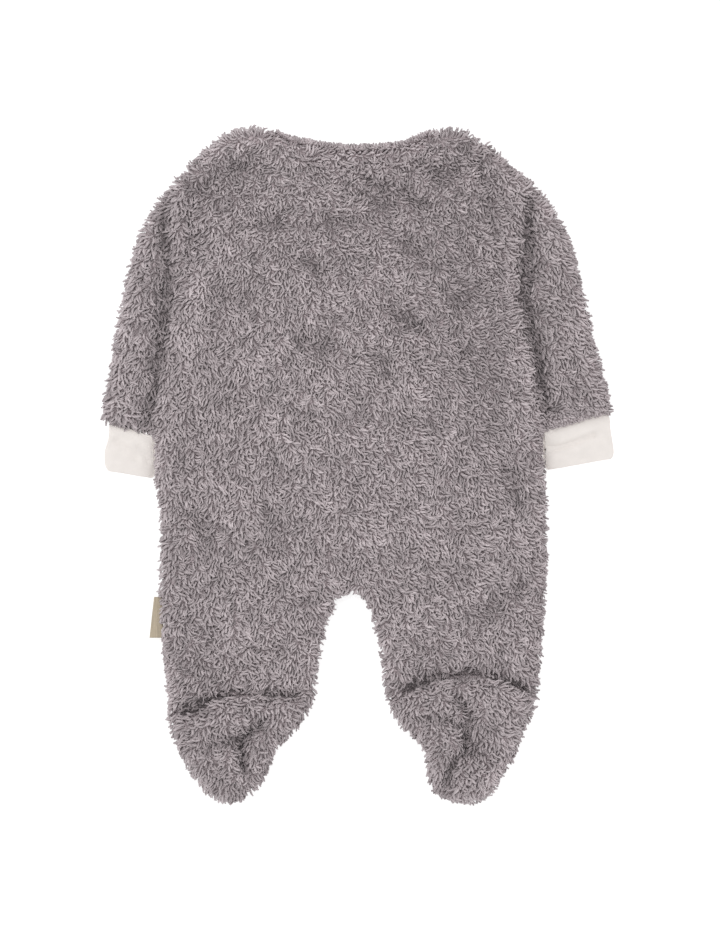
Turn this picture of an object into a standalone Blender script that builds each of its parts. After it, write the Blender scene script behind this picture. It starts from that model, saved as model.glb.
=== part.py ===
"""Footed onesie pajama of thick teddy-pile cloth, laid flat with its back up.

Frame: +X across the garment, +Y towards the neck, +Z up from the surface it lies on. The origin is on that
surface, under the middle of the garment's box. Left and right are the wearer's. Sizes are in millimetres
and become metres when a mesh is made.

The front panels lie on the surface, the back and the soles lie on them, and the sleeves are flattened
tubes beside the body. Each panel is a flat plan of rows and columns, raised by two height functions.
"""

from collections import namedtuple

import bpy
import numpy as np

MM = 0.001

# Colours and roughness of the cloths and of the studs
TEDDY, TEDDY_ROUGHNESS = (0.279, 0.242, 0.250), 0.95
JERSEY, JERSEY_ROUGHNESS = (0.855, 0.823, 0.791), 0.9
TAPE, TAPE_ROUGHNESS = (0.468, 0.402, 0.296), 0.8
METAL, METAL_ROUGHNESS = (0.62, 0.60, 0.58), 0.35

# Layers, from the surface up
FRONT_TOP = 6.2  # cloth and pressed pile of the front
LAYER_GAP = 0.6
BACK_UNDER = FRONT_TOP + LAYER_GAP
BACK_TOP = 15.4  # tips of the pile on the flat of the back
FOOT_TOP = 21.0  # the bunched cloth of a foot
SEAM_LEVEL = (FRONT_TOP + BACK_UNDER) / 2
LIP = 1.5  # height of a panel's outermost edge
LEAST_RISE = 0.5  # of a panel's top above that edge
SEAM_GAP = 0.4
ARMHOLE_GAP = 1.1
SIDE_GAP = 0.6  # between a sleeve or a cuff and the body beside it
SLEEVE_WALL = 4.2  # at the folded sides of a sleeve

# Rounding of the free edges
BACK_ROUND = 8.0
FRONT_ROUND = 7.0
FOOT_ROUND = 15.0
SLEEVE_ROUND_FOLD = 9.0  # along the outer fold of a sleeve
SLEEVE_ROUND_INSIDE = 14.0  # beside the body, where a sleeve sinks
SLEEVE_LEAST = 2.6  # from its middle level to its top
FOOT_RISE_RUN = 16.0  # from the heel seam to the full height of a foot

# Heights along the body
ARMPIT_Y = 120.0
CROTCH_X, CROTCH_Y = -4.4, -95.8
LEG_TOP = -116.0
FOOT_Y = -196.0  # where the level rows of a foot start
TOE_ROUND_Y = -236.0  # where its end starts to round off
TOE_Y = -251.2

# Front opening
OVERLAP_LEFT, OVERLAP_RIGHT = -12.4, 3.6
PLACKET_END = -66.0
PLACKET_STEPS = (0.0, 1.0, 2.0, 3.0)  # rows below that end, where the layers part
PLACKET_FADE = 3.5  # the columns beside the opening run on that far below its end
PLAIN_COLUMN = 8.0  # the column beside the centre below it
PLACKET_RISE = 1.2  # the pile is clipped short there, so the studs stay clear of the surface
PLACKET_TOP = 3.0  # of the lower layer
PLACKET_UNDER = 3.4  # of the upper layer
STEP_FREE, STEP_RUN = 0.6, 1.6  # the step beside the other layer's edge: its distance and its slope's length
STUD_COUNT = 6
STUD_RADIUS, STUD_HEIGHT, STUD_SIDES = 5.0, 0.7, 14
STUD_TOP_Y, STUD_BOTTOM_Y = 176.0, -52.0
STUD_LOW = 0.2
STUD_CHAMFER_IN, STUD_CHAMFER = 0.35, 0.3

# The tables below count from a point near the middle of the body, and the meshes from the middle of the
# garment's box
MIDDLE_X, MIDDLE_Y = -0.57, -0.41

Edge = namedtuple("Edge", "y x")  # an edge's place across, at a height
Spot = namedtuple("Spot", "x y")
Fold = namedtuple("Fold", "x0 y0 x1 y1 depth width")  # a trough, or with a negative depth a ridge

# Sides of the body, from the top of the armhole to the toe
LEFT_SIDE = (
    Edge(237.9, -107.3),
    Edge(200.2, -116.9),
    Edge(158.0, -122.8),
    Edge(135.8, -128.0),
    Edge(ARMPIT_Y, -136.9),
    Edge(98.8, -142.8),
    Edge(69.2, -148.0),
    Edge(24.8, -152.2),
    Edge(-10.7, -151.4),
    Edge(-36.0, -146.2),
    Edge(-81.8, -146.5),
    Edge(-135.0, -145.2),
    Edge(-170.6, -141.6),
    Edge(-190.0, -139.6),
    Edge(-212.0, -133.6),
    Edge(-229.8, -123.0),
    Edge(-241.6, -113.8),
    Edge(-248.4, -104.6),
    Edge(-251.2, -97.5),
)
RIGHT_SIDE = (
    Edge(240.9, 88.8),
    Edge(200.2, 87.0),
    Edge(158.0, 89.4),
    Edge(133.6, 98.4),
    Edge(ARMPIT_Y, 120.0),
    Edge(87.7, 127.3),
    Edge(58.1, 132.5),
    Edge(24.8, 138.2),
    Edge(-34.4, 139.1),
    Edge(-87.7, 139.9),
    Edge(-115.8, 137.8),
    Edge(-146.9, 134.7),
    Edge(-170.6, 131.7),
    Edge(-188.3, 127.3),
    Edge(-202.0, 120.4),
    Edge(-216.0, 116.2),
    Edge(-229.8, 106.9),
    Edge(-241.6, 101.2),
    Edge(-248.4, 93.5),
    Edge(-251.2, 85.0),
)
# Inner legs, from the crotch to the toe
LEFT_INSEAM = (
    Edge(CROTCH_Y, CROTCH_X),
    Edge(-96.4, -8.2),
    Edge(-99.5, -14.1),
    Edge(-111.4, -20.7),
    Edge(-129.1, -25.9),
    Edge(-146.9, -29.6),
    Edge(-170.6, -31.8),
    Edge(-182.4, -35.5),
    Edge(-191.0, -40.8),
    Edge(-202.0, -51.5),
    Edge(-212.0, -60.7),
    Edge(-229.8, -66.9),
    Edge(-241.6, -76.2),
    Edge(-248.4, -85.0),
    Edge(-251.2, -92.5),
)
RIGHT_INSEAM = (
    Edge(CROTCH_Y, CROTCH_X),
    Edge(-96.4, -1.0),
    Edge(-99.5, 3.7),
    Edge(-111.4, 8.9),
    Edge(-129.1, 14.8),
    Edge(-152.8, 18.5),
    Edge(-170.6, 20.0),
    Edge(-182.4, 24.4),
    Edge(-194.2, 30.3),
    Edge(-206.1, 44.4),
    Edge(-214.0, 49.6),
    Edge(-235.7, 52.0),
    Edge(-244.0, 56.5),
    Edge(-249.0, 65.0),
    Edge(-251.2, 76.0),
)
# Necklines and shoulders, from left to right
BACK_NECK = (
    Spot(-107.3, 237.9),
    Spot(-98.0, 244.6),
    Spot(-81.4, 250.2),
    Spot(-70.0, 248.6),
    Spot(-54.0, 239.6),
    Spot(-38.0, 235.0),
    Spot(-4.4, 231.2),
    Spot(31.0, 232.4),
    Spot(47.0, 239.0),
    Spot(60.7, 248.4),
    Spot(69.0, 250.4),
    Spot(88.8, 240.9),
)
FRONT_NECK = (
    Spot(-107.3, 237.9),
    Spot(-98.0, 244.6),
    Spot(-81.4, 248.6),
    Spot(-70.0, 244.0),
    Spot(-56.0, 221.0),
    Spot(-36.0, 201.0),
    Spot(-4.4, 193.0),
    Spot(24.0, 200.0),
    Spot(44.0, 219.0),
    Spot(58.0, 243.0),
    Spot(69.0, 248.8),
    Spot(88.8, 240.9),
)
# Heel seams, from the outer side to the inner leg
LEFT_HEEL = (
    Spot(-140.4, -184.6),
    Spot(-118.4, -180.9),
    Spot(-107.3, -174.2),
    Spot(-92.5, -170.2),
    Spot(-65.9, -169.6),
    Spot(-45.9, -168.6),
    Spot(-31.0, -163.4),
)
RIGHT_HEEL = (
    Spot(130.6, -175.6),
    Spot(121.4, -166.6),
    Spot(109.5, -158.9),
    Spot(94.7, -155.6),
    Spot(79.9, -154.8),
    Spot(65.1, -155.6),
    Spot(40.7, -164.2),
    Spot(20.6, -175.2),
)
# Outer folds of the sleeves, from the shoulder to the hem
LEFT_SLEEVE_FOLD = (
    Spot(-107.3, 237.9),
    Spot(-123.5, 222.6),
    Spot(-141.5, 201.0),
    Spot(-155.0, 181.5),
    Spot(-165.5, 159.0),
    Spot(-172.0, 132.0),
    Spot(-178.0, 104.0),
    Spot(-182.5, 74.0),
    Spot(-187.8, 48.0),
    Spot(-189.8, 32.2),
)
RIGHT_SLEEVE_FOLD = (
    Spot(88.8, 240.9),
    Spot(108.0, 226.5),
    Spot(128.5, 208.5),
    Spot(144.5, 190.5),
    Spot(155.0, 170.0),
    Spot(162.5, 144.0),
    Spot(169.5, 115.0),
    Spot(176.5, 85.0),
    Spot(184.0, 58.0),
    Spot(187.4, 36.6),
)
LEFT_HEM_Y, RIGHT_HEM_Y = 20.4, 21.8  # beside the body

Cuff = namedtuple("Cuff", "fold_top side_top side_bottom fold_bottom")
LEFT_CUFF = Cuff(Spot(-184.6, 29.9), Spot(-153.6, 19.9), Spot(-152.4, -10.7), Spot(-185.4, -4.6))
RIGHT_CUFF = Cuff(Spot(184.6, 35.2), Spot(140.0, 21.6), Spot(140.4, -4.4), Spot(189.4, 4.6))
CUFF_WALL = 2.1  # two layers of jersey
CUFF_SLIT = 0.5
CUFF_HIGH, CUFF_LOW = 7.0, 2.6  # the middle of the cuff at the hem and at its free end
CUFF_DROOP_END = 0.75  # the share of its length that it droops over
CUFF_ROUND = 2.6  # of its two folded sides and of its corners
CUFF_CORNER_FROM = 0.8
CUFF_SIDE_WALL = 1.6
CUFF_ROWS = (0.0, 0.2, 0.45, 0.7, 0.86, 0.95, 1.0)
CUFF_COLUMNS, CUFF_BETWEEN = (0.0, 0.6, 2.0, 5.0), 3

# Soft troughs of the back
BACK_FOLDS = (
    Fold(5.2, 206.1, 57.0, 183.9, 1.8, 9),
    Fold(-98.4, 218.7, -88.0, 222.0, 1.6, 9),
    Fold(-68.0, 178.0, -58.0, 182.0, 1.3, 8),
    Fold(-36.0, 140.0, -24.0, 149.0, 1.2, 8),
    Fold(-44.0, 86.0, -14.0, 92.0, 1.4, 9),
    Fold(20.0, 66.0, 28.0, 80.0, 1.3, 8),
    Fold(78.0, 78.0, 88.0, 92.0, 1.3, 9),
    Fold(20.0, 115.0, 53.3, 102.5, 1.7, 8),
    Fold(-20.7, 35.9, 53.3, 28.5, 1.2, 9),
    Fold(-79.9, -19.6, -50.3, -67.7, 1.8, 8),
    Fold(-131.7, -34.4, -113.2, -78.8, 1.4, 10),
    Fold(105.1, 24.8, 127.3, -27.0, 1.4, 9),
    Fold(123.6, -86.2, 94.0, -112.1, 1.5, 9),
    Fold(-42.9, -56.6, 20.0, -71.4, 1.2, 9),
    Fold(-70.0, 120.0, -80.0, 20.0, -1.2, 22),
    Fold(50.0, 60.0, 60.0, -60.0, -1.0, 24),
)
# The deep creases in the sleeve heads that run on into the slits beside the body
SLEEVE_FOLDS = (
    Fold(-143.6, 194.0, -140.0, 160.0, 4.6, 5),
    Fold(-140.0, 160.0, -137.6, 122.0, 5.2, 6),
    Fold(127.3, 188.0, 122.8, 150.0, 4.8, 5),
    Fold(122.8, 150.0, 121.4, 120.0, 5.4, 6),
    Fold(-170.0, 96.0, -160.0, 60.0, 1.2, 9),
    Fold(168.0, 90.0, 156.0, 62.0, 1.2, 9),
)
# Creases and hollows of the feet, and the roll below each heel seam
FOOT_FOLDS = (
    Fold(-109.0, -206.0, -80.0, -203.0, 3.6, 9),
    Fold(-88.0, -206.0, -81.0, -226.0, 3.0, 6),
    Fold(-71.0, -194.0, -66.0, -190.0, 2.6, 6),
    Fold(-128.0, -196.0, -40.0, -180.0, -1.6, 9),
    Fold(77.0, -168.0, 83.0, -198.0, 3.4, 7),
    Fold(83.0, -198.0, 66.0, -240.0, 3.2, 7),
    Fold(40.7, -190.6, 63.0, -189.2, 2.2, 5),
    Fold(104.0, -176.0, 110.0, -200.0, -1.4, 11),
)
HEEL_DIP, HEEL_DIP_WIDTH = 5.6, 6.5
ARMHOLE_DIP, ARMHOLE_DIP_WIDTH = 1.4, 5.0

# The back sinks to the surface inside the front neckline, where nothing lies under it
NECK_SAG = 6.1
SAG_FROM, SAG_TO = 15.0, 35.0  # distances from the front neckline

# Neck band
BAND_WIDTH, BAND_HEIGHT = 4.4, 5.0
BAND_FROM, BAND_TO, BAND_COUNT = -63.0, 55.0, 30
BAND_SIDES = 8
BAND_GAP = 0.9
BAND_TAPER = 0.45  # of its thickness, at its two ends
BAND_DROP = 0.2  # below the back's underside

# Label tape, folded in the left side seam
LABEL_TOP_Y, LABEL_BOTTOM_Y = -98.6, -129.4
LABEL_TOP_X, LABEL_BOTTOM_X = -151.6, -154.4
LABEL_THICK = 0.8

# Distances from an edge to the rows or columns beside it
NEAR_EDGE = (0.0, 1.2, 3.6, 8.0)
NEAR_CENTRE = (0.0, 2.5, 8.0)
NEAR_SEAM = (0.0, 2.0, 6.0)
NEAR_ARMPIT = (0.0, 2.0, 5.0, 9.0, 13.5, 20.0)
SLEEVE_COLUMNS = (0.0, 1.0, 3.4, 8.0)
BACK_BETWEEN, FRONT_BETWEEN, SLEEVE_BETWEEN = 6, 4, 4  # columns between those
BELOW_CROTCH = (0.6, 2.0, 4.2, 8.0, 13.0)
NEAR_TOE = (-242.0, -246.5, -249.5)

# Lengths that rows are spaced for, and the counts of even rows along them
ARMHOLE_RUN, ARMHOLE_ROWS = 118.0, 4
BODY_ROWS = 15
LEG_RUN, LEG_ROWS = 54.0, 4
HEEL_RUN, HEEL_ROWS = 24.0, 1
FRONT_LEG_ROWS, FOOT_ROWS = 7, 6

# Rows of a sleeve: shares of its length near the shoulder and the hem, and rows about its armpit, counted in
# steps of one length
SHOULDER_ROWS = (0.02, 0.05, 0.1)
LAST_SLEEVE_ROW = 0.96
ARMPIT_STEP = 5.0
ABOVE_ARMPIT = (5.5, 4.2, 3.0, 2.0, 1.0, 0.0)
SLEEVE_ROWS_TO, SLEEVE_ROWS_FROM = 7, 3  # the even rows end and start again that many steps from the armpit
UPPER_SLEEVE_ROWS, LOWER_SLEEVE_ROWS = 4, 6


def clear_scene():
    for thing in list(bpy.data.objects):
        bpy.data.objects.remove(thing, do_unlink=True)


def slopes_of(t, v):
    """Slopes at the points of a curve, level at its humps, so that it never overshoots."""
    step = np.diff(v) / np.diff(t)
    slope = np.concatenate(([step[0]], np.zeros(len(step) - 1), [step[-1]]))
    same = step[1:] * step[:-1] > 0
    slope[1:-1][same] = 2 * step[1:][same] * step[:-1][same] / (step[1:] + step[:-1])[same]
    return slope


def smooth(t, v, at):
    """The value at a place on a smooth curve through points at rising t."""
    t, v, at = np.asarray(t, float), np.asarray(v, float), np.asarray(at, float)
    slope = slopes_of(t, v)
    at = np.clip(at, t[0], t[-1])
    i = np.clip(np.searchsorted(t, at, side="right") - 1, 0, len(t) - 2)
    width = t[i + 1] - t[i]
    f = (at - t[i]) / width
    return (
        v[i] * (1 + 2 * f) * (1 - f) ** 2
        + slope[i] * width * f * (1 - f) ** 2
        + v[i + 1] * f**2 * (3 - 2 * f)
        + slope[i + 1] * width * f**2 * (f - 1)
    )


def across(edge, y):
    """How far across an edge lies at a height."""
    rows = edge[::-1]
    return smooth([r.y for r in rows], [r.x for r in rows], y)


def height(curve, x):
    """How high a neckline or heel seam lies at a place across."""
    spots = sorted(curve, key=lambda spot: spot.x)
    return smooth([s.x for s in spots], [s.y for s in spots], x)


def along(spots, f):
    """Points at fractions of the length of a smooth line through the spots."""
    xy = np.array(spots, float)
    far = np.concatenate(([0], np.cumsum(np.linalg.norm(np.diff(xy, axis=0), axis=1))))
    return np.stack([smooth(far / far[-1], xy[:, k], f) for k in (0, 1)], -1)


def traced(edge, top, bottom, count=60):
    """Points down an edge between two heights."""
    y = np.linspace(top, bottom, count)
    return np.stack([across(edge, y), y], -1)


def distance(xy, line):
    """How far points lie from a line of points, in plan."""
    xy, line = np.asarray(xy, float), np.asarray(line, float)
    best = np.full(len(xy), np.inf)
    for a, b in zip(line[:-1], line[1:]):
        run = b - a
        f = np.clip((xy - a) @ run / max(run @ run, 1e-12), 0, 1)
        best = np.minimum(best, np.linalg.norm(xy - a - f[:, None] * run, axis=1))
    return best


def rounded(d, radius):
    """From 0 on an edge to 1 at the radius from it, as a quarter circle."""
    return np.sqrt(1 - (1 - np.clip(d / radius, 0, 1)) ** 2)


def eased(d, low, high):
    f = np.clip((d - low) / (high - low), 0, 1)
    return f * f * (3 - 2 * f)


def relief(xy, folds):
    """The rise and fall that the folds give at points."""
    total = np.zeros(len(xy))
    for f in folds:
        d = distance(xy, [(f.x0, f.y0), (f.x1, f.y1)])
        total -= f.depth * np.exp(-((d / f.width) ** 2))
    return total


def stations(width, first, between, last):
    """Fractions across a width: close together at its two ends, even between them."""
    tight = min(1.0, 0.42 * width / max(first[-1], last[-1]))
    start = [d * tight for d in first]
    end = [width - d * tight for d in reversed(last)]
    middle = np.linspace(start[-1], end[0], between + 2)[1:-1]
    return np.array([*start, *middle, *end]) / width


def row(outer, inner, level, between, last):
    """One row of a plan, from the outer edge to the inner one. level gives its height at a fraction across,
    and last the distances of the columns beside the inner edge, or a function of that edge that does."""
    x0, x1 = float(outer(level(0.0))), float(inner(level(1.0)))
    beside = last(x1, level(1.0)) if callable(last) else last
    f = stations(abs(x1 - x0), NEAR_EDGE, between, beside)
    return np.array([(x0 + (x1 - x0) * k, level(k)) for k in f])


def blend(a, b, t):
    return lambda k: float(a(k) * (1 - t) + b(k) * t)


def flat(y):
    return lambda k: y


def fractions(first, count, span, last=()):
    """Fractions down a span: rows close to its start, even rows, and rows close to its end."""
    start = [d / span for d in first]
    end = [1 - d / span for d in reversed(last)]
    stop = end[0] if end else 1.0
    even = np.linspace(start[-1], stop, count + 2)[1:-1]
    return [*start, *even, *(end if end else [1.0])]


def half_rows(side, inner, neck, centre_x, between, last, extra=()):
    """Rows of one half of a panel, from its neckline down to the top of its leg."""
    outer = lambda y: across(side, y)
    x0 = side[0].x
    top = lambda k: height(neck, x0 + (centre_x - x0) * k)
    shares = fractions(NEAR_EDGE, ARMHOLE_ROWS, ARMHOLE_RUN, NEAR_ARMPIT)
    levels = [blend(top, flat(ARMPIT_Y), t) for t in shares]
    heights = sorted({*np.linspace(ARMPIT_Y, CROTCH_Y, BODY_ROWS)[1:], *extra}, reverse=True)
    heights += [CROTCH_Y - d for d in BELOW_CROTCH] + [LEG_TOP]
    levels += [flat(float(y)) for y in heights]
    return [row(outer, inner, level, between, last) for level in levels]


def heel_level(heel, drop=0.0):
    """The heel seam's height at a fraction from the outer edge to the inner one."""
    x0, x1 = heel[0].x, heel[-1].x
    return lambda k: float(height(heel, x0 + (x1 - x0) * k)) - drop


def panel_mesh(name, plan_rows, top, bottom, colour, roughness):
    """A closed solid over grids of plan points that may share an edge, between two height functions."""
    index, xy, faces = {}, [], []

    def place(p):
        key = (round(float(p[0]), 3), round(float(p[1]), 3))
        if key not in index:
            index[key] = len(xy)
            xy.append(key)
        return index[key]

    for rows in plan_rows:
        ids = [[place(p) for p in line] for line in rows]
        for a, b in zip(ids[:-1], ids[1:]):
            for k in range(len(a) - 1):
                corners = [a[k], b[k], b[k + 1], a[k + 1]]
                around = list(dict.fromkeys(corners))
                if len(around) < 3:
                    continue
                p = np.array([xy[i] for i in around])
                q = np.roll(p, -1, axis=0)
                turn = float((p[:, 0] * q[:, 1] - p[:, 1] * q[:, 0]).sum())
                faces.append(around if turn > 0 else around[::-1])
    xy = np.array(xy)
    upper, lower = top(xy), bottom(xy)
    count = len(xy)
    verts = np.concatenate([np.column_stack([xy, upper]), np.column_stack([xy, lower])])
    directed = {(f[i], f[(i + 1) % len(f)]) for f in faces for i in range(len(f))}
    walls = [(b, a, a + count, b + count) for a, b in directed if (b, a) not in directed]
    under = [[i + count for i in reversed(f)] for f in faces]
    return make_object(name, verts, faces + under + sorted(walls), colour, roughness)


def make_object(name, verts, faces, colour, roughness, metallic=0.0):
    mesh = bpy.data.meshes.new(name)
    placed = (np.asarray(verts) - (MIDDLE_X, MIDDLE_Y, 0.0)) * MM
    mesh.from_pydata(placed.tolist(), [], [list(f) for f in faces])
    mesh.update()
    thing = bpy.data.objects.new(name, mesh)
    bpy.context.scene.collection.objects.link(thing)
    material = bpy.data.materials.new(name)
    material.use_nodes = True
    shader = material.node_tree.nodes["Principled BSDF"]
    shader.inputs["Base Color"].default_value = (*colour, 1.0)
    shader.inputs["Roughness"].default_value = roughness
    shader.inputs["Metallic"].default_value = metallic
    mesh.materials.append(material)
    mesh.shade_smooth()
    mesh.set_sharp_from_angle(angle=0.7)
    return thing


def back_sag(xy):
    """How far the back sinks inside the front neckline."""
    x = np.linspace(FRONT_NECK[0].x, FRONT_NECK[-1].x, 100)
    line = np.stack([x, height(FRONT_NECK, x)], -1)
    above = xy[:, 1] > height(FRONT_NECK, xy[:, 0])
    return np.where(above, NECK_SAG * eased(distance(xy, line), SAG_FROM, SAG_TO), 0.0)


def back_free_edges():
    x = np.linspace(BACK_NECK[0].x, BACK_NECK[-1].x, 120)
    return (
        np.stack([x, height(BACK_NECK, x)], -1),
        traced(LEFT_SIDE, ARMPIT_Y, LEFT_HEEL[0].y),
        traced(RIGHT_SIDE, ARMPIT_Y, RIGHT_HEEL[0].y),
        traced(LEFT_INSEAM, CROTCH_Y, LEFT_HEEL[-1].y),
        traced(RIGHT_INSEAM, CROTCH_Y, RIGHT_HEEL[-1].y),
    )


def nearest(xy, lines):
    return np.min([distance(xy, line) for line in lines], axis=0)


def seam_dips(xy):
    """The shallow dips along the armhole seams and the deep ones along the heel seams."""
    armholes = [traced(side, side[0].y, ARMPIT_Y) for side in (LEFT_SIDE, RIGHT_SIDE)]
    heels = (along(LEFT_HEEL, np.linspace(0, 1, 40)), along(RIGHT_HEEL, np.linspace(0, 1, 40)))
    return ARMHOLE_DIP * np.exp(-((nearest(xy, armholes) / ARMHOLE_DIP_WIDTH) ** 2)) + HEEL_DIP * np.exp(
        -((nearest(xy, heels) / HEEL_DIP_WIDTH) ** 2)
    )


def back_surface(xy):
    edge = rounded(nearest(xy, back_free_edges()), BACK_ROUND)
    full = BACK_TOP + relief(xy, BACK_FOLDS) - seam_dips(xy)
    lip = BACK_UNDER + LIP
    return lip + (np.maximum(full, lip + LEAST_RISE) - lip) * edge - back_sag(xy)


def back_underside(xy):
    return BACK_UNDER - back_sag(xy)


def leg_rows(side, inseam, heel):
    """Rows of the back from the top of a leg to the heel seam."""
    outer = lambda y: across(side, y)
    inner = lambda y: across(inseam, y)
    end = heel_level(heel)
    shares = fractions((0.0,), LEG_ROWS, LEG_RUN, NEAR_SEAM)
    return [row(outer, inner, blend(flat(LEG_TOP), end, t), BACK_BETWEEN, NEAR_CENTRE) for t in shares[1:]]


def inner_edge(inseam, centre_x):
    """The centre line above the crotch and the inner leg below it."""
    return lambda y: centre_x if y >= CROTCH_Y else float(across(inseam, y))


def make_back():
    halves = []
    for side, inseam, heel in ((LEFT_SIDE, LEFT_INSEAM, LEFT_HEEL), (RIGHT_SIDE, RIGHT_INSEAM, RIGHT_HEEL)):
        inner = inner_edge(inseam, CROTCH_X)
        rows = half_rows(side, inner, BACK_NECK, CROTCH_X, BACK_BETWEEN, NEAR_CENTRE)
        halves.append(rows + leg_rows(side, inseam, heel))
    panel_mesh("back", halves, back_surface, back_underside, TEDDY, TEDDY_ROUGHNESS)


def foot_levels():
    """The level rows of a foot below its first one, closer together as its toe rounds off."""
    straight = np.linspace(FOOT_Y, TOE_ROUND_Y, FOOT_ROWS)
    return [flat(y) for y in [*straight[1:], *NEAR_TOE, TOE_Y]]


def make_sole(name, side, inseam, heel):
    outer = lambda y: across(side, y)
    inner = lambda y: across(inseam, y)
    start = heel_level(heel, SEAM_GAP)
    levels = [blend(start, flat(FOOT_Y), t) for t in fractions(NEAR_SEAM, HEEL_ROWS, HEEL_RUN)]
    rows = [row(outer, inner, level, BACK_BETWEEN, NEAR_CENTRE) for level in levels + foot_levels()]
    free = (traced(side, heel[0].y, TOE_Y), traced(inseam, heel[-1].y, TOE_Y))
    toe = (traced(side, TOE_Y, TOE_Y, 2)[0], traced(inseam, TOE_Y, TOE_Y, 2)[0])

    def surface(xy):
        edge = rounded(nearest(xy, (*free, np.array(toe))), FOOT_ROUND)
        seam = along(heel, np.linspace(0, 1, 40))
        rise = BACK_TOP + (FOOT_TOP - BACK_TOP) * eased(distance(xy, seam), 0.0, FOOT_RISE_RUN)
        full = rise + relief(xy, FOOT_FOLDS) - seam_dips(xy)
        lip = BACK_UNDER + LIP
        return lip + (np.maximum(full, lip + LEAST_RISE) - lip) * edge

    panel_mesh(name, [rows], surface, lambda xy: np.full(len(xy), BACK_UNDER), TEDDY, TEDDY_ROUGHNESS)


def make_front(name, side, inseam, is_left):
    """A front panel with its leg and foot. The left one goes under the right one at the opening, from the
    surface up, and below the opening they meet along the centre."""
    reach = OVERLAP_RIGHT if is_left else OVERLAP_LEFT
    sewn = CROTCH_X - SEAM_GAP / 2 if is_left else CROTCH_X + SEAM_GAP / 2
    free_to = PLACKET_END if is_left else PLACKET_END - 1.0
    sewn_from = free_to - 1.0

    def inner(y):
        if y < CROTCH_Y:
            return float(across(inseam, y)) + sewn - CROTCH_X
        share = np.clip((free_to - y) / (free_to - sewn_from), 0, 1)
        return reach + (sewn - reach) * float(share)

    step = OVERLAP_LEFT - STEP_FREE if is_left else OVERLAP_RIGHT + STEP_FREE

    def last(x, y):
        """Columns beside the opening's edge, two of them along the step that the other layer lies over."""
        to_step = abs(x - step) if y > PLACKET_END - PLACKET_FADE else PLAIN_COLUMN
        return (0.0, 2.0, to_step, to_step + STEP_RUN)

    extra = [PLACKET_END - d for d in PLACKET_STEPS]
    rows = half_rows(side, inner, FRONT_NECK, reach, FRONT_BETWEEN, last, extra)
    outer = lambda y: across(side, y)
    leg = [flat(y) for y in np.linspace(LEG_TOP, FOOT_Y, FRONT_LEG_ROWS)[1:]]
    rows += [row(outer, inner, level, FRONT_BETWEEN, last) for level in leg + foot_levels()]
    neck_x = np.linspace(side[0].x, CROTCH_X, 60)
    free = (
        np.stack([neck_x, height(FRONT_NECK, neck_x)], -1),
        traced(side, ARMPIT_Y, TOE_Y),
        traced(inseam, CROTCH_Y, TOE_Y),
        np.array([traced(side, TOE_Y, TOE_Y, 2)[0], traced(inseam, TOE_Y, TOE_Y, 2)[0]]),
    )

    def in_overlap(xy):
        past = (xy[:, 0] - step) * (1 if is_left else -1)
        return eased(past, -STEP_RUN, 0.0) * eased(xy[:, 1], PLACKET_END - 3.0, PLACKET_END - 2.0)

    def top(xy):
        lowered = (FRONT_TOP - PLACKET_TOP) * in_overlap(xy) if is_left else 0.0
        return np.full(len(xy), FRONT_TOP) - lowered

    def bottom(xy):
        edge = (FRONT_TOP - LIP) * (1 - rounded(nearest(xy, free), FRONT_ROUND))
        lift = (PLACKET_RISE if is_left else PLACKET_UNDER) * in_overlap(xy)
        limit = top(xy) - LIP
        return np.minimum(np.maximum(edge, lift), limit)

    panel_mesh(name, [rows], top, bottom, TEDDY, TEDDY_ROUGHNESS)


def make_tube(name, rings, holes, colour, roughness):
    """A tube wall between outer rings and the inner rings of its hollow, closed at its two ends."""
    count, around = len(rings), len(rings[0])
    verts = np.concatenate([*rings, *holes])
    inside = count * around
    faces = []
    for r in range(count - 1):
        for k in range(around):
            a, b = r * around + k, r * around + (k + 1) % around
            faces.append((a, b, b + around, a + around))
            faces.append((inside + a, inside + a + around, inside + b + around, inside + b))
    for r, turned in ((0, False), (count - 1, True)):
        for k in range(around):
            a, b = r * around + k, r * around + (k + 1) % around
            face = (a, inside + a, inside + b, b)
            faces.append(face[::-1] if turned else face)
    solid = np.array(verts)
    if volume_of(solid, faces) < 0:
        faces = [f[::-1] for f in faces]
    return make_object(name, solid, faces, colour, roughness)


def volume_of(verts, faces):
    total = 0.0
    for f in faces:
        for i in range(1, len(f) - 1):
            total += float(np.dot(verts[f[0]], np.cross(verts[f[i]], verts[f[i + 1]]))) / 6
    return total


def beside_body(side, hem_y, outward):
    """Points beside the body down the armhole seam, and from the armpit to the sleeve's hem."""

    def clear(y, gap):
        x, slope = float(across(side, y)), float(across(side, y + 0.5) - across(side, y - 0.5))
        away = np.array([outward, -outward * slope]) / np.hypot(1.0, slope)
        return np.array([x, y]) + gap * away

    armhole = [clear(y, ARMHOLE_GAP) for y in np.linspace(side[0].y, ARMPIT_Y, 60)]
    fall = np.linspace(0, 1, 50)[1:]
    gaps = ARMHOLE_GAP + (SIDE_GAP - ARMHOLE_GAP) * np.minimum(1.0, 4 * fall)
    below = [clear(ARMPIT_Y + (hem_y - ARMPIT_Y) * t, gap) for t, gap in zip(fall, gaps)]
    return np.array(armhole), np.array(armhole[-1:] + below)


def on_line(line, f):
    """A point at a fraction of the length of a line of points."""
    far = np.concatenate(([0], np.cumsum(np.linalg.norm(np.diff(line, axis=0), axis=1))))
    return np.array([np.interp(f * far[-1], far, line[:, k]) for k in (0, 1)])


def length(line):
    return float(np.linalg.norm(np.diff(line, axis=0), axis=1).sum())


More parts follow.
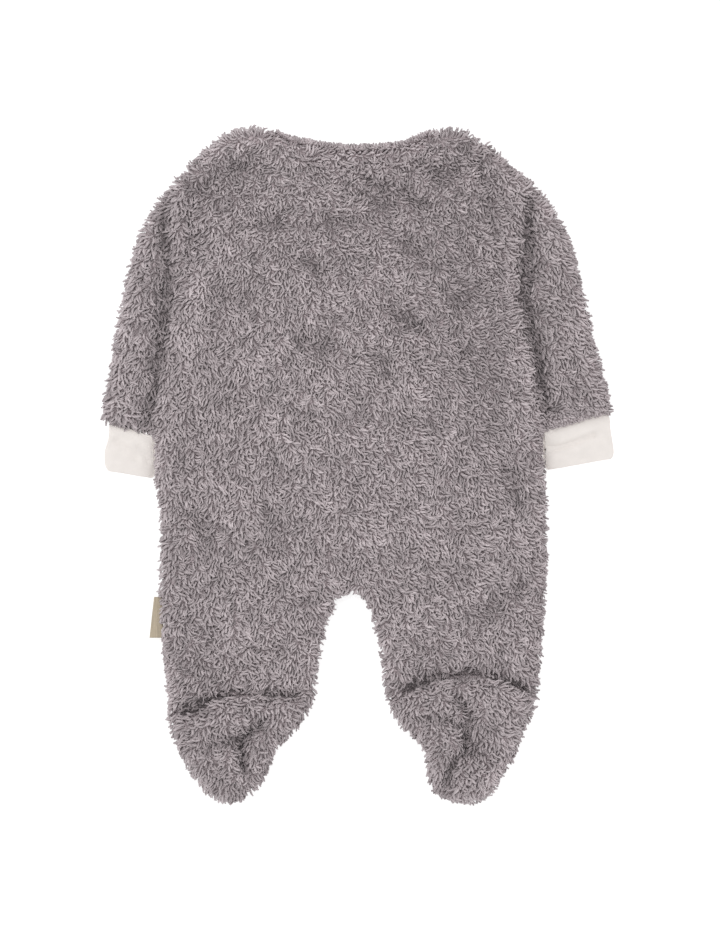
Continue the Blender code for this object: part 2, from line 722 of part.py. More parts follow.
def make_sleeve(name, side, fold, hem_y, outward):
    """A flattened tube, folded along its outer side and open at the armhole and the hem. Each row runs from
    the outer fold to the seam or the side of the body."""
    armhole, underarm = beside_body(side, hem_y, outward)
    whole = np.concatenate([armhole, underarm[1:]])
    fold_line = along((Spot(*armhole[0]), *fold[1:]), np.linspace(0, 1, 120))
    at_armpit = length(armhole) / length(whole)
    step = ARMPIT_STEP / length(whole)
    even_to, even_from = at_armpit - SLEEVE_ROWS_TO * step, at_armpit + SLEEVE_ROWS_FROM * step
    shares = [*SHOULDER_ROWS, *np.linspace(SHOULDER_ROWS[-1], even_to, UPPER_SLEEVE_ROWS)[1:]]
    shares += [at_armpit - step * k for k in ABOVE_ARMPIT]
    shares += [at_armpit + step, *np.linspace(even_from, LAST_SLEEVE_ROW, LOWER_SLEEVE_ROWS), 1.0]
    outer_rows, inner_rows = [], []
    for t in shares:
        a, b = on_line(fold_line, t), on_line(whole, t)
        width = float(np.linalg.norm(b - a))
        f = stations(width, SLEEVE_COLUMNS, SLEEVE_BETWEEN, SLEEVE_COLUMNS)
        xy = a + f[:, None] * (b - a)
        closed = t >= at_armpit
        full = BACK_TOP + relief(xy, SLEEVE_FOLDS) - seam_dips(xy)
        from_fold, from_body = distance(xy, fold_line), distance(xy, underarm)
        shape = np.minimum(rounded(from_fold, SLEEVE_ROUND_FOLD), rounded(from_body, SLEEVE_ROUND_INSIDE))
        upper = SEAM_LEVEL + (np.maximum(full, SEAM_LEVEL + SLEEVE_LEAST) - SEAM_LEVEL) * shape
        flat_side = np.minimum(rounded(from_fold, FRONT_ROUND), rounded(from_body, FRONT_ROUND))
        lower = SEAM_LEVEL * (1 - flat_side)
        wall = min(SLEEVE_WALL, 0.3 * width)
        far_wall = wall if closed else 0.0
        hole_xy = a + ((wall + f * (width - wall - far_wall)) / width)[:, None] * (b - a)
        ease = np.sin(np.pi * f) if closed else np.sin(np.pi * f / 2)
        if not closed:
            upper[-1] = max(upper[-1], BACK_UNDER + LIP)
            lower[-1] = min(lower[-1], FRONT_TOP - LIP)
        slit = LAYER_GAP / 2 * ease
        outer_rows.append(chain(xy, upper, lower))
        inner_rows.append(chain(hole_xy, SEAM_LEVEL + slit, SEAM_LEVEL - slit))
    wall_mesh(name, np.array(outer_rows), np.array(inner_rows), TEDDY, TEDDY_ROUGHNESS)


def chain(xy, upper, lower):
    """Points from the body's side over the upper layer to the fold and back along the lower layer."""
    over = np.column_stack([xy, upper])[::-1]
    under = np.column_stack([xy, lower])[1:]
    return np.concatenate([over, under])


def wall_mesh(name, outer, inner, colour, roughness):
    """A closed solid between two grids of points. Points that coincide are one, so a row whose two ends
    meet is a ring."""
    index, pairs = {}, []

    def place(r, k):
        key = tuple(np.round([*outer[r, k], *inner[r, k]], 3))
        if key not in index:
            index[key] = len(pairs)
            pairs.append(key)
        return index[key]

    ids = [[place(r, k) for k in range(outer.shape[1])] for r in range(outer.shape[0])]
    faces = []
    for a, b in zip(ids[:-1], ids[1:]):
        for k in range(len(a) - 1):
            faces.append([a[k], b[k], b[k + 1], a[k + 1]])
    count = len(pairs)
    points = np.array(pairs)
    verts = np.concatenate([points[:, :3], points[:, 3:]])
    directed = {(f[i], f[(i + 1) % len(f)]) for f in faces for i in range(len(f))}
    walls = [(b, a, a + count, b + count) for a, b in directed if (b, a) not in directed]
    under = [[i + count for i in reversed(f)] for f in faces]
    whole = faces + under + sorted(walls)
    if volume_of(verts, whole) < 0:
        whole = [f[::-1] for f in whole]
    return make_object(name, verts, whole, colour, roughness)


def ring_of(xy, upper, lower):
    """One closed ring: across the upper side and back along the lower side."""
    over = np.column_stack([xy, upper])
    under = np.column_stack([xy, lower])[1:-1]
    return np.concatenate([over, under[::-1]])


def make_cuff(name, corners):
    """A doubled band of jersey, drooping to the surface, with rounded corners at its free end."""
    a, b, c, d = (np.array(spot, float) for spot in corners)
    rings, holes = [], []
    for t in CUFF_ROWS:
        start, end = a + (d - a) * t, b + (c - b) * t
        width = float(np.linalg.norm(end - start))
        droop = CUFF_HIGH + (CUFF_LOW - CUFF_HIGH) * float(eased(t, 0.0, CUFF_DROOP_END))
        tuck = CUFF_ROUND * max(0.0, (t - CUFF_CORNER_FROM) / (1 - CUFF_CORNER_FROM)) ** 3
        f = stations(width, CUFF_COLUMNS, CUFF_BETWEEN, CUFF_COLUMNS)
        inset = (tuck + f * (width - 2 * tuck)) / width
        xy = start + inset[:, None] * (end - start)
        half = CUFF_WALL + CUFF_SLIT / 2
        edge = rounded(np.minimum(f, 1 - f) * width, CUFF_ROUND)
        wall = min(CUFF_SIDE_WALL, 0.3 * width)
        hole_f = (tuck + wall + f * (width - 2 * (tuck + wall))) / width
        hole_xy = start + hole_f[:, None] * (end - start)
        slit = CUFF_SLIT / 2 * np.sin(np.pi * f)
        rings.append(ring_of(xy, droop + half * edge, droop - half * edge))
        holes.append(ring_of(hole_xy, droop + slit, droop - slit))
    make_tube(name, rings, holes, JERSEY, JERSEY_ROUGHNESS)


def make_neck_band():
    """A narrow turned strip along the back neckline, between the shoulder seams."""
    x = np.linspace(BAND_FROM, BAND_TO, BAND_COUNT)
    edge = np.stack([x, height(BACK_NECK, x)], -1)
    run = np.gradient(edge, axis=0)
    run /= np.linalg.norm(run, axis=1)[:, None]
    outwards = np.stack([-run[:, 1], run[:, 0]], -1)
    middle = edge + outwards * (BAND_WIDTH / 2 + BAND_GAP)
    low = back_underside(edge) - BAND_DROP
    verts, faces = [], []
    angles = np.linspace(0, 2 * np.pi, BAND_SIDES, endpoint=False) + np.pi / BAND_SIDES
    for i, (m, n, z) in enumerate(zip(middle, outwards, low)):
        taper = 1 - BAND_TAPER * (abs(i / (BAND_COUNT - 1) * 2 - 1)) ** 6
        for angle in angles:
            out = m + n * (BAND_WIDTH / 2 * taper * np.cos(angle))
            verts.append((*out, z + BAND_HEIGHT / 2 * (1 + taper * np.sin(angle))))
    for i in range(BAND_COUNT - 1):
        for k in range(BAND_SIDES):
            a, b = i * BAND_SIDES + k, i * BAND_SIDES + (k + 1) % BAND_SIDES
            faces.append((a, b, b + BAND_SIDES, a + BAND_SIDES))
    faces.append(tuple(reversed(range(BAND_SIDES))))
    faces.append(tuple((BAND_COUNT - 1) * BAND_SIDES + k for k in range(BAND_SIDES)))
    solid = np.array(verts)
    if volume_of(solid, faces) < 0:
        faces = [f[::-1] for f in faces]
    make_object("neck_band", solid, faces, TEDDY, TEDDY_ROUGHNESS)


def make_label():
    """A bare folded tape that stands out of the left side seam."""
    rows = []
    for t in np.linspace(0, 1, 5):
        y = LABEL_TOP_Y + (LABEL_BOTTOM_Y - LABEL_TOP_Y) * t
        outer = LABEL_TOP_X + (LABEL_BOTTOM_X - LABEL_TOP_X) * t
        inner = float(across(LEFT_SIDE, y)) - SEAM_GAP
        rows.append([(outer + (inner - outer) * f, y) for f in (0.0, 0.5, 1.0)])
    level = lambda z: lambda xy: np.full(len(xy), z)
    high, low = SEAM_LEVEL + LABEL_THICK / 2, SEAM_LEVEL - LABEL_THICK / 2
    panel_mesh("label", [rows], level(high), level(low), TAPE, TAPE_ROUGHNESS)


def make_studs():
    """The caps of the press studs, in the clipped strip of the opening."""
    x = (OVERLAP_LEFT + OVERLAP_RIGHT) / 2
    angles = np.linspace(0, 2 * np.pi, STUD_SIDES, endpoint=False)
    for i, y in enumerate(np.linspace(STUD_TOP_Y, STUD_BOTTOM_Y, STUD_COUNT)):
        rings = []
        rim = STUD_RADIUS - STUD_CHAMFER_IN
        for z, radius in ((0.0, rim), (STUD_CHAMFER, STUD_RADIUS), (STUD_HEIGHT, STUD_RADIUS)):
            turn = np.stack([np.cos(angles), np.sin(angles)], -1) * radius
            rings.append(np.column_stack([turn + (x, y), np.full(STUD_SIDES, STUD_LOW + z)]))
        faces = []
        for r in range(2):
            for k in range(STUD_SIDES):
                a, b = r * STUD_SIDES + k, r * STUD_SIDES + (k + 1) % STUD_SIDES
                faces.append((a, b, b + STUD_SIDES, a + STUD_SIDES))
        faces.append(tuple(reversed(range(STUD_SIDES))))
        faces.append(tuple(2 * STUD_SIDES + k for k in range(STUD_SIDES)))
        make_object(f"stud_{i + 1}", np.concatenate(rings), faces, METAL, METAL_ROUGHNESS, 1.0)


def main():
    clear_scene()
    make_back()
    make_front("front_left", LEFT_SIDE, LEFT_INSEAM, True)
    make_front("front_right", RIGHT_SIDE, RIGHT_INSEAM, False)
    make_sleeve("sleeve_left", LEFT_SIDE, LEFT_SLEEVE_FOLD, LEFT_HEM_Y, -1.0)
    make_sleeve("sleeve_right", RIGHT_SIDE, RIGHT_SLEEVE_FOLD, RIGHT_HEM_Y, 1.0)
    make_cuff("cuff_left", LEFT_CUFF)
    make_cuff("cuff_right", RIGHT_CUFF)
    make_sole("sole_left", LEFT_SIDE, LEFT_INSEAM, LEFT_HEEL)
    make_sole("sole_right", RIGHT_SIDE, RIGHT_INSEAM, RIGHT_HEEL)
    make_neck_band()
    make_label()
    make_studs()


main()
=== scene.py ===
"""Looks of a footed onesie pajama of thick teddy-pile cloth, laid flat with its back up.

The garment's nodes give the place of everything here. Each soft node becomes a thin knitted cloth that lies
a pile's depth inside it, and locks of pile grow from that cloth out to the node's own surface.
"""

import math
from collections import namedtuple

import bmesh
import bpy
import numpy as np
from bpy.props import FloatProperty, FloatVectorProperty, IntProperty, PointerProperty
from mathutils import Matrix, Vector, kdtree
from mathutils.bvhtree import BVHTree


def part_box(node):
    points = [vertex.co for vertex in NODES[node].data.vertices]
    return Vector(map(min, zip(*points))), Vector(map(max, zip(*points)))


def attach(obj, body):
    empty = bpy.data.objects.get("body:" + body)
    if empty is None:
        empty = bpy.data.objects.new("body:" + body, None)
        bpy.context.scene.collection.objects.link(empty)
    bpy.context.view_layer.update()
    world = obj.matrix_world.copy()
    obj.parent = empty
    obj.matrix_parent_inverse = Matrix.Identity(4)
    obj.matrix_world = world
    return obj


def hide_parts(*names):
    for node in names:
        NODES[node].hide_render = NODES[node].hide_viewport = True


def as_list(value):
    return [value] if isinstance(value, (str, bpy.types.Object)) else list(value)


bl_info = {
    "name": "Teddy onesie",
    "version": (1, 0, 0),
    "blender": (4, 5, 0),
    "location": "3D View > Sidebar > Onesie",
    "description": "Pile, knitted cloth, jersey cuffs, label and press studs of a footed teddy onesie",
    "category": "Object",
}

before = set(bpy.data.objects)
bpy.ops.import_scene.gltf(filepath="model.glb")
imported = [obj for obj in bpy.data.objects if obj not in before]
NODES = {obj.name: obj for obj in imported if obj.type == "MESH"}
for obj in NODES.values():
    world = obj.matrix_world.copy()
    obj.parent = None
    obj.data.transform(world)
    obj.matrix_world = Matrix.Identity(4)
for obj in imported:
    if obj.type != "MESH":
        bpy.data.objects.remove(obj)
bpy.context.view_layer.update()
MM = 0.001

# A panel as it was cut, in millimetres and square centimetres, and the cloths that it lies on
Cut = namedtuple("Cut", "width length area rests_on")
# Nodes that are cloth with pile on it: how often each is subdivided, and the strips that its pile is made in
Part = namedtuple("Part", "node levels strips cut")
PARTS = (
    Part("back", 2, 4, Cut(292, 435, 1035, ("front_left_cloth", "front_right_cloth"))),
    Part("front_left", 1, 1, Cut(158, 502, 580, ())),
    Part("front_right", 1, 1, Cut(153, 502, 552, ())),
    Part("sleeve_left", 2, 1, Cut(105, 222, 152, ())),
    Part("sleeve_right", 2, 1, Cut(140, 225, 215, ())),
    Part("sole_left", 2, 1, Cut(110, 88, 60, ("front_left_cloth",))),
    Part("sole_right", 2, 1, Cut(110, 96, 68, ("front_right_cloth",))),
    Part("neck_band", 1, 1, Cut(10, 122, 9.5, ("back_cloth",))),
)
SEAM_LEVEL = 6.5 * MM  # height of the side seams, between the front and the back

# How the pile lies: a place, the way it runs in degrees from +X, how far its locks turn from that way, and
# how stout they are
Nap = namedtuple("Nap", "x y way swirl stout")
NAPS = (
    Nap(-60, 200, -100, 0.9, 0.98),
    Nap(0, 205, -60, 1.0, 0.98),
    Nap(50, 200, -70, 0.9, 0.98),
    Nap(-80, 120, -95, 0.45, 0.98),
    Nap(0, 130, -75, 0.8, 0.98),
    Nap(60, 130, -50, 0.6, 0.98),
    Nap(105, 110, -10, 0.4, 0.98),
    Nap(-110, 60, -90, 0.35, 1.08),
    Nap(-50, 50, -85, 0.4, 1.0),
    Nap(20, 50, -62, 0.5, 1.0),
    Nap(90, 40, -48, 0.35, 1.0),
    Nap(-100, -60, -92, 0.5, 1.05),
    Nap(-40, -50, -80, 0.5, 1.03),
    Nap(30, -40, -55, 0.5, 1.03),
    Nap(100, -70, -50, 0.45, 1.03),
    Nap(-90, -130, -92, 0.65, 1.03),
    Nap(80, -130, -65, 0.65, 1.03),
    Nap(-90, -205, -80, 0.85, 1.1),
    Nap(-128, -195, -130, 0.4, 1.1),
    Nap(-85, -240, -90, 0.6, 1.1),
    Nap(70, -195, -80, 0.8, 1.1),
    Nap(112, -190, -42, 0.3, 1.1),
    Nap(52, -215, -105, 0.4, 1.1),
    Nap(80, -240, -75, 0.6, 1.1),
    Nap(-150, 170, -112, 0.4, 1.1),
    Nap(-165, 80, -102, 0.35, 1.1),
    Nap(135, 170, -58, 0.35, 1.1),
    Nap(160, 80, -60, 0.35, 1.1),
)
NAP_REACH = 26.0  # how far a place's way holds, in millimetres

# Where the pile is shorter than elsewhere, or longer below 0: a place, how far that holds and by what share
Trim = namedtuple("Trim", "x y reach share")
TRIMS = (
    Trim(-71, 249, 9, -0.2),
    Trim(50, 247, 12, -0.28),
    Trim(92, 240, 7, -0.25),
    Trim(-150, 193, 15, -0.3),
    Trim(-120, 231, 7, -0.15),
    Trim(131, -175, 9, -0.25),
    Trim(-44, 242, 12, 0.3),
    Trim(-57, 246, 7, 0.1),
    Trim(-34, 233, 9, -0.3),
    Trim(-12, 229, 9, -0.35),
    Trim(12, 228, 9, -0.35),
    Trim(34, 232, 9, -0.3),
    Trim(111, 222, 8, 0.2),
    Trim(-150, -30, 15, 0.25),
    Trim(-143, -155, 18, 0.35),
    Trim(-131, -212, 9, 0.2),
    Trim(140, -98, 16, 0.3),
    Trim(20, -172, 7, 0.3),
    Trim(42, -208, 13, 0.25),
    Trim(54, -234, 8, 0.2),
    Trim(141, 18, 8, 0.45),
    Trim(139, 5, 7, 0.45),
    Trim(148, 28, 9, 0.45),
    Trim(162, 31, 9, 0.5),
    Trim(176, 33, 9, 0.4),
    Trim(-153, 5, 10, 0.5),
    Trim(-152, 20, 7, 0.4),
)

# Creases of the cloth, and soft rises below 0: depth, half width, how much painted shade the pile has there
# (painted light below 0), and the line
Fold = namedtuple("Fold", "depth width shade line")
FOLDS = (
    Fold(5.6, 3.6, 1.0, ((-143, 195), (-141, 166), (-138, 129), (-142, 99), (-147, 70), (-151, 44))),
    Fold(2.4, 7.5, 0.75, ((-145, 195), (-144, 166), (-142, 129), (-146, 99), (-151, 70), (-157, 27))),
    Fold(7.0, 4.0, 1.5, ((127, 195), (124, 160), (123, 121), (130, 92), (134, 77), (135, 58), (138, 44))),
    Fold(2.4, 7.0, 0.9, ((130, 195), (127, 151), (126, 121), (132, 88), (138, 58), (141, 42))),
    Fold(5.0, 3.6, 1.0, ((-129, -182), (-121, -180), (-109, -173), (-92, -168), (-71, -169), (-44, -170))),
    Fold(2.5, 2.2, 0.9, ((-71, -169), (-46, -170))),
    Fold(5.0, 5.5, 1.0, ((-127, -181), (-117, -180))),
    Fold(
        5.0, 3.6, 1.1, ((33, -169), (46, -161), (62, -156), (86, -154), (101, -156), (119, -162), (129, -168))
    ),
    Fold(3.5, 5.0, 1.0, ((42, -163), (49, -161))),
    Fold(2.5, 2.4, 0.6, ((98, -155), (119, -162))),
    Fold(6.0, 4.4, 1.3, ((-70, -190), (-82, -201), (-86, -211), (-83, -226))),
    Fold(3.5, 7.0, 1.0, ((-106, -205), (-88, -202))),
    Fold(
        6.0, 5.0, 1.15, ((74, -174), (81, -179), (84, -188), (80, -198), (80, -211), (71, -219), (66, -236))
    ),
    Fold(3.5, 5.0, 0.8, ((40, -187), (70, -189))),
    Fold(3.0, 7.0, 0.87, ((-73, 179), (-56, 181))),
    Fold(2.0, 7.0, 0.52, ((-33, 179), (-11, 181))),
    Fold(2.0, 9.0, 0.6, ((-104, 216), (-87, 219))),
    Fold(2.0, 8.0, 0.61, ((-113, 203), (-105, 192))),
    Fold(3.0, 6.0, 0.85, ((10, 211), (56, 191))),
    Fold(2.0, 8.0, 0.6, ((61, 213), (70, 218))),
    Fold(1.2, 6.0, 0.3, ((78, 236), (83, 225))),
    Fold(3.0, 7.0, 0.85, ((26, 116), (46, 101))),
    Fold(2.6, 8.0, 0.87, ((-38, 92), (-22, 89))),
    Fold(2.4, 7.0, 0.8, ((18, 80), (25, 65))),
    Fold(2.0, 7.0, 0.7, ((-59, 2), (-50, -6))),
    Fold(2.4, 4.6, 0.6, ((-71, -26), (-50, -61))),
    Fold(2.4, 9.0, 0.7, ((-115, -41), (-111, -60))),
    Fold(2.0, 7.0, 0.61, ((-5, -74), (33, -70))),
    Fold(2.8, 8.0, 0.9, ((120, -88), (95, -106))),
    Fold(2.0, 9.0, 0.61, ((116, -4), (119, -23))),
    Fold(2.0, 13.0, 0.5, ((69, 140), (73, 121))),
    Fold(1.4, 8.0, 0.35, ((78, 94), (82, 78))),
    Fold(1.8, 7.0, 0.44, ((-9, 34), (54, 37))),
    Fold(1.8, 9.0, 0.52, ((-107, 124), (-79, 124))),
    Fold(1.8, 8.0, 0.52, ((-33, 150), (-26, 136))),
    Fold(2.0, 6.0, 0.61, ((-126, 221), (-124, 166), (-127, 136))),
    Fold(2.0, 6.0, 0.52, ((91, 232), (98, 181), (111, 129))),
    Fold(1.6, 12.0, 0.47, ((38, 161), (55, 155))),
    Fold(1.0, 18.0, 0.3, ((56, 222), (85, 205))),
    Fold(2.0, 7.0, 0.7, ((-6, 203), (26, 191))),
    Fold(3.0, 6.5, 0.8, ((84, -203), (90, -215))),
    Fold(1.0, 6.0, 0.5, ((134, 160), (135, 142))),
    Fold(1.8, 7.0, 0.7, ((-79, 223), (-70, 220))),
    Fold(1.4, 12.0, 0.6, ((-125, -143), (-108, -137))),
    Fold(1.0, 9.0, 0.3, ((-120, -158), (-112, -153))),
    Fold(1.0, 5.0, 0.6, ((54, 242), (62, 244))),
    Fold(1.5, 5.0, 0.6, ((-147, 127), (-148, 111))),
    Fold(1.2, 8.0, 0.55, ((-118, 176), (-116, 156))),
    Fold(1.2, 7.0, 0.5, ((-84, 44), (-79, 38))),
    Fold(1.4, 7.0, 0.55, ((25, 222), (36, 216))),
    Fold(1.2, 7.0, 0.5, ((28, 171), (34, 166))),
    Fold(1.2, 9.0, 0.5, ((158, 43), (168, 38))),
    Fold(2.0, 3.4, 0.5, ((-113, -176), (-97, -171))),
    Fold(1.0, 8.0, 0.35, ((78, 194), (84, 189))),
    Fold(1.2, 7.0, 0.45, ((77, 223), (86, 219))),
    Fold(1.0, 8.0, 0.3, ((-128, -30), (-124, -38))),
    Fold(1.0, 8.0, 0.35, ((160, 74), (163, 62))),
    Fold(1.0, 8.0, 0.35, ((58, -128), (67, -131))),
    Fold(0.8, 8.0, 0.3, ((-86, 172), (-80, 166))),
    Fold(0.8, 8.0, 0.3, ((-6, 217), (1, 215))),
    Fold(1.2, 6.0, 0.4, ((42, -197), (45, -206))),
    Fold(1.4, 6.0, 0.5, ((97, -182), (99, -192))),
    Fold(1.0, 7.0, 0.45, ((-29, 149), (-22, 144))),
    Fold(1.2, 7.0, 0.65, ((-107, 80), (-101, 62))),
    Fold(1.0, 9.0, 0.4, ((-110, -234), (-84, -239))),
    Fold(1.0, 20.0, 0.31, ((80, 150), (95, 60))),
    Fold(1.0, 14.0, 0.31, ((-118, 212), (-100, 200))),
    Fold(-0.6, 26.0, -0.15, ((-20, -20), (30, -60))),
    Fold(-1.4, 8.0, -0.55, ((-119, 128), (-124, 87))),
    Fold(-0.6, 8.0, -0.5, ((-152, 186), (-156, 165))),
    Fold(-0.6, 10.0, -0.4, ((150, 168), (168, 104))),
    Fold(-0.6, 8.0, -0.4, ((132, 201), (139, 190))),
    Fold(-0.5, 8.0, -0.5, ((-142, 197), (-126, 209))),
    Fold(-2.2, 3.2, -0.6, ((-45, 236), (-34, 233), (-12, 230), (12, 230), (34, 232), (45, 235))),
    Fold(-1.5, 5.0, -0.5, ((-142, 151), (-142, 140))),
    Fold(-1.2, 6.0, -0.5, ((-144, 80), (-147, 68))),
    Fold(-0.8, 5.0, -0.5, ((117, 126), (116, 117))),
    Fold(-0.8, 6.0, -0.4, ((125, 195), (126, 185))),
    Fold(-0.8, 5.0, -0.4, ((76, -208), (73, -214))),
    Fold(-0.6, 7.0, -0.45, ((17, 130), (25, 128))),
    Fold(-0.8, 4.5, -0.6, ((125, 86), (127, 66))),
    Fold(-0.8, 5.0, -0.5, ((132, 120), (130, 109))),
    Fold(-0.6, 6.0, -0.5, ((94, -101), (101, -104))),
    Fold(-0.6, 7.0, -0.45, ((163, 120), (169, 108))),
    Fold(-0.6, 6.0, -0.5, ((-66, 245), (-60, 243))),
    Fold(-0.6, 6.0, -0.45, ((52, 194), (60, 192))),
    Fold(-0.8, 5.0, -0.5, ((-141, 170), (-140, 158))),
    Fold(-0.8, 6.0, -0.45, ((119, 165), (117, 154))),
    Fold(-0.5, 7.0, -0.45, ((-54, -25), (-48, -29))),
    Fold(-0.4, 8.0, -0.35, ((86, 22), (92, 10))),
    Fold(-0.5, 7.0, -0.35, ((-45, -140), (-36, -141))),
    Fold(-0.5, 6.0, -0.4, ((-90, -228), (-84, -231))),
    Fold(-0.4, 7.0, -0.4, ((92, 234), (101, 229))),
    Fold(-0.5, 7.0, -0.4, ((132, -148), (131, -158))),
    Fold(-0.5, 7.0, -0.45, ((-27, -76), (-20, -79))),
    Fold(-1.2, 8.0, -0.7, ((33, 47), (45, 49))),
    Fold(-1.0, 6.0, -0.45, ((-60, 18), (-36, 13))),
    Fold(-1.2, 7.0, -0.4, ((-92, -127), (-74, -127))),
    Fold(0.8, 8.0, 0.5, ((-56, -126), (-44, -123))),
    Fold(0.6, 8.0, 0.3, ((-164, 120), (-162, 98))),
    Fold(0.8, 8.0, 0.35, ((20, -24), (32, -26))),
    Fold(0.8, 8.0, 0.35, ((-50, 152), (-44, 150))),
    Fold(0.8, 7.0, 0.35, ((67, 70), (73, 66))),
    Fold(0.8, 7.0, 0.35, ((1, 195), (7, 191))),
    Fold(0.8, 8.0, 0.35, ((49, 136), (50, 107))),
    Fold(1.0, 6.0, 0.45, ((96, -205), (99, -211))),
    Fold(0.8, 7.0, 0.35, ((47, 185), (53, 182))),
    Fold(-0.5, 7.0, -0.35, ((21, 12), (27, 10))),
    Fold(-0.5, 6.0, -0.35, ((-160, 82), (-158, 72))),
    Fold(-0.5, 7.0, -0.35, ((-52, -157), (-44, -156))),
    Fold(-0.5, 7.0, -0.35, ((-9, -89), (-4, -92))),
    Fold(-0.5, 6.0, -0.35, ((67, -228), (66, -234))),
    Fold(-0.5, 7.0, -0.35, ((-74, -128), (-68, -128))),
    Fold(0.7, 7.0, 0.35, ((149, 141), (153, 133))),
    Fold(0.7, 7.0, 0.35, ((106, 198), (110, 190))),
    Fold(-0.6, 6.0, -0.45, ((115, 78), (121, 76))),
    Fold(-0.6, 8.0, -0.4, ((-27, -54), (-19, -51))),
    Fold(-0.5, 8.0, -0.3, ((-38, -155), (-30, -155))),
    Fold(-0.5, 8.0, -0.3, ((101, -14), (107, -14))),
    Fold(-0.4, 7.0, -0.3, ((-149, 192), (-148, 184))),
    Fold(-0.8, 5.0, -0.5, ((-50, -158), (-33, -159))),
    Fold(-1.0, 6.0, -0.6, ((101, -180), (113, -177))),
    Fold(-0.8, 5.0, -0.6, ((-62, -210), (-61, -222))),
    Fold(-0.8, 7.0, -0.6, ((105, -222), (98, -235))),
    Fold(-1.0, 7.0, -0.3, ((-42, 131), (-24, 124))),
)


class Value:
    """The output of a node, which takes arithmetic: vectors through Vector Math, numbers through Math."""

    def __init__(self, graph, socket):
        self.graph = graph
        self.socket = socket

    def number(self, operation, *values):
        return self.graph.add("ShaderNodeMath", {"operation": operation}, dict(enumerate(values)))

    def vector(self, operation, *values):
        return self.graph.add("ShaderNodeVectorMath", {"operation": operation}, dict(enumerate(values)))

    def is_vector(self):
        return self.socket.type == "VECTOR"

    def either(self, operation, *values):
        """A sum or a difference, which is a vector where this value is one."""
        return (self.vector if self.is_vector() else self.number)(operation, *values)

    def __add__(self, other):
        return self.either("ADD", self, other)

    def __radd__(self, other):
        return self.either("ADD", other, self)

    def __sub__(self, other):
        return self.either("SUBTRACT", self, other)

    def __rsub__(self, other):
        return self.either("SUBTRACT", other, self)

    def __mul__(self, other):
        if self.is_vector():
            return self.graph.add("ShaderNodeVectorMath", {"operation": "SCALE"}, {0: self, "Scale": other})
        return self.number("MULTIPLY", self, other)

    def __rmul__(self, other):
        return self * other

    def __truediv__(self, other):
        return self.number("DIVIDE", self, other)

    def __rtruediv__(self, other):
        return self.number("DIVIDE", other, self)

    def __pow__(self, other):
        return self.number("POWER", self, other)

    def __gt__(self, other):
        return self.number("GREATER_THAN", self, other)

    def __lt__(self, other):
        return self.number("LESS_THAN", self, other)

    def __abs__(self):
        return self.number("ABSOLUTE", self)

    def sin(self):
        return self.number("SINE", self)

    def cos(self):
        return self.number("COSINE", self)

    def at_most(self, other):
        return self.number("MINIMUM", self, other)

    def at_least(self, other):
        return self.number("MAXIMUM", self, other)

    def cross(self, other):
        return self.vector("CROSS_PRODUCT", self, other)

    def dot(self, other):
        made = self.vector("DOT_PRODUCT", self, other)
        return Value(self.graph, made.socket.node.outputs["Value"])

    def stretched(self, shares):
        """A vector with each of its axes times its own number."""
        return self.vector("MULTIPLY", self, shares)

    def unit(self):
        return self.vector("NORMALIZE", self)

    def axis(self, k):
        parts = self.graph.add("ShaderNodeSeparateXYZ", {}, {0: self})
        return Value(self.graph, parts.socket.node.outputs[k])


def opaque(colour):
    """A colour with its alpha, or a node's output as it is."""
    return colour if isinstance(colour, Value) else (*colour, 1.0)[:4]


class Graph:
    """Adds nodes to a shader's or a modifier's tree."""

    def __init__(self, tree):
        self.tree = tree

    def add(self, kind, settings=None, inputs=None, output=0):
        """A new node: its settings, then its sockets by name or place. Gives one of its outputs."""
        node = self.tree.nodes.new(kind)
        for name, value in (settings or {}).items():
            setattr(node, name, value)
        for key, value in (inputs or {}).items():
            self.join(value, self.find(node.inputs, key))
        return Value(self, self.find(node.outputs, output))

    def find(self, sockets, key):
        """A socket by its name or its place, among those that the node's settings leave in use."""
        in_use = [s for s in sockets if s.enabled]
        return in_use[key] if isinstance(key, int) else next(s for s in in_use if s.name == key)

    def join(self, value, socket):
        """Link a node's output to a socket, or give the socket a plain value."""
        if isinstance(value, Value):
            self.tree.links.new(value.socket, socket)
        else:
            socket.default_value = value

    def mix(self, factor, low, high):
        """A colour between two colours."""
        inputs = {"Factor": factor, "A": opaque(low), "B": opaque(high)}
        return self.add("ShaderNodeMix", {"data_type": "RGBA"}, inputs)

    def noise(self, place, scale, detail=2.0, rough=0.5):
        """Cloudy noise, from 0 to 1, whose patches are as wide as 1 over the scale."""
        inputs = {"Vector": place, "Scale": scale, "Detail": detail, "Roughness": rough}
        return self.add("ShaderNodeTexNoise", {}, inputs)

    def ease(self, value, low, high):
        """From 0 to 1 as the value goes from low to high."""
        inputs = {0: value, 1: low, 2: high, 3: 0.0, 4: 1.0}
        return self.add("ShaderNodeMapRange", {"interpolation_type": "SMOOTHSTEP"}, inputs)


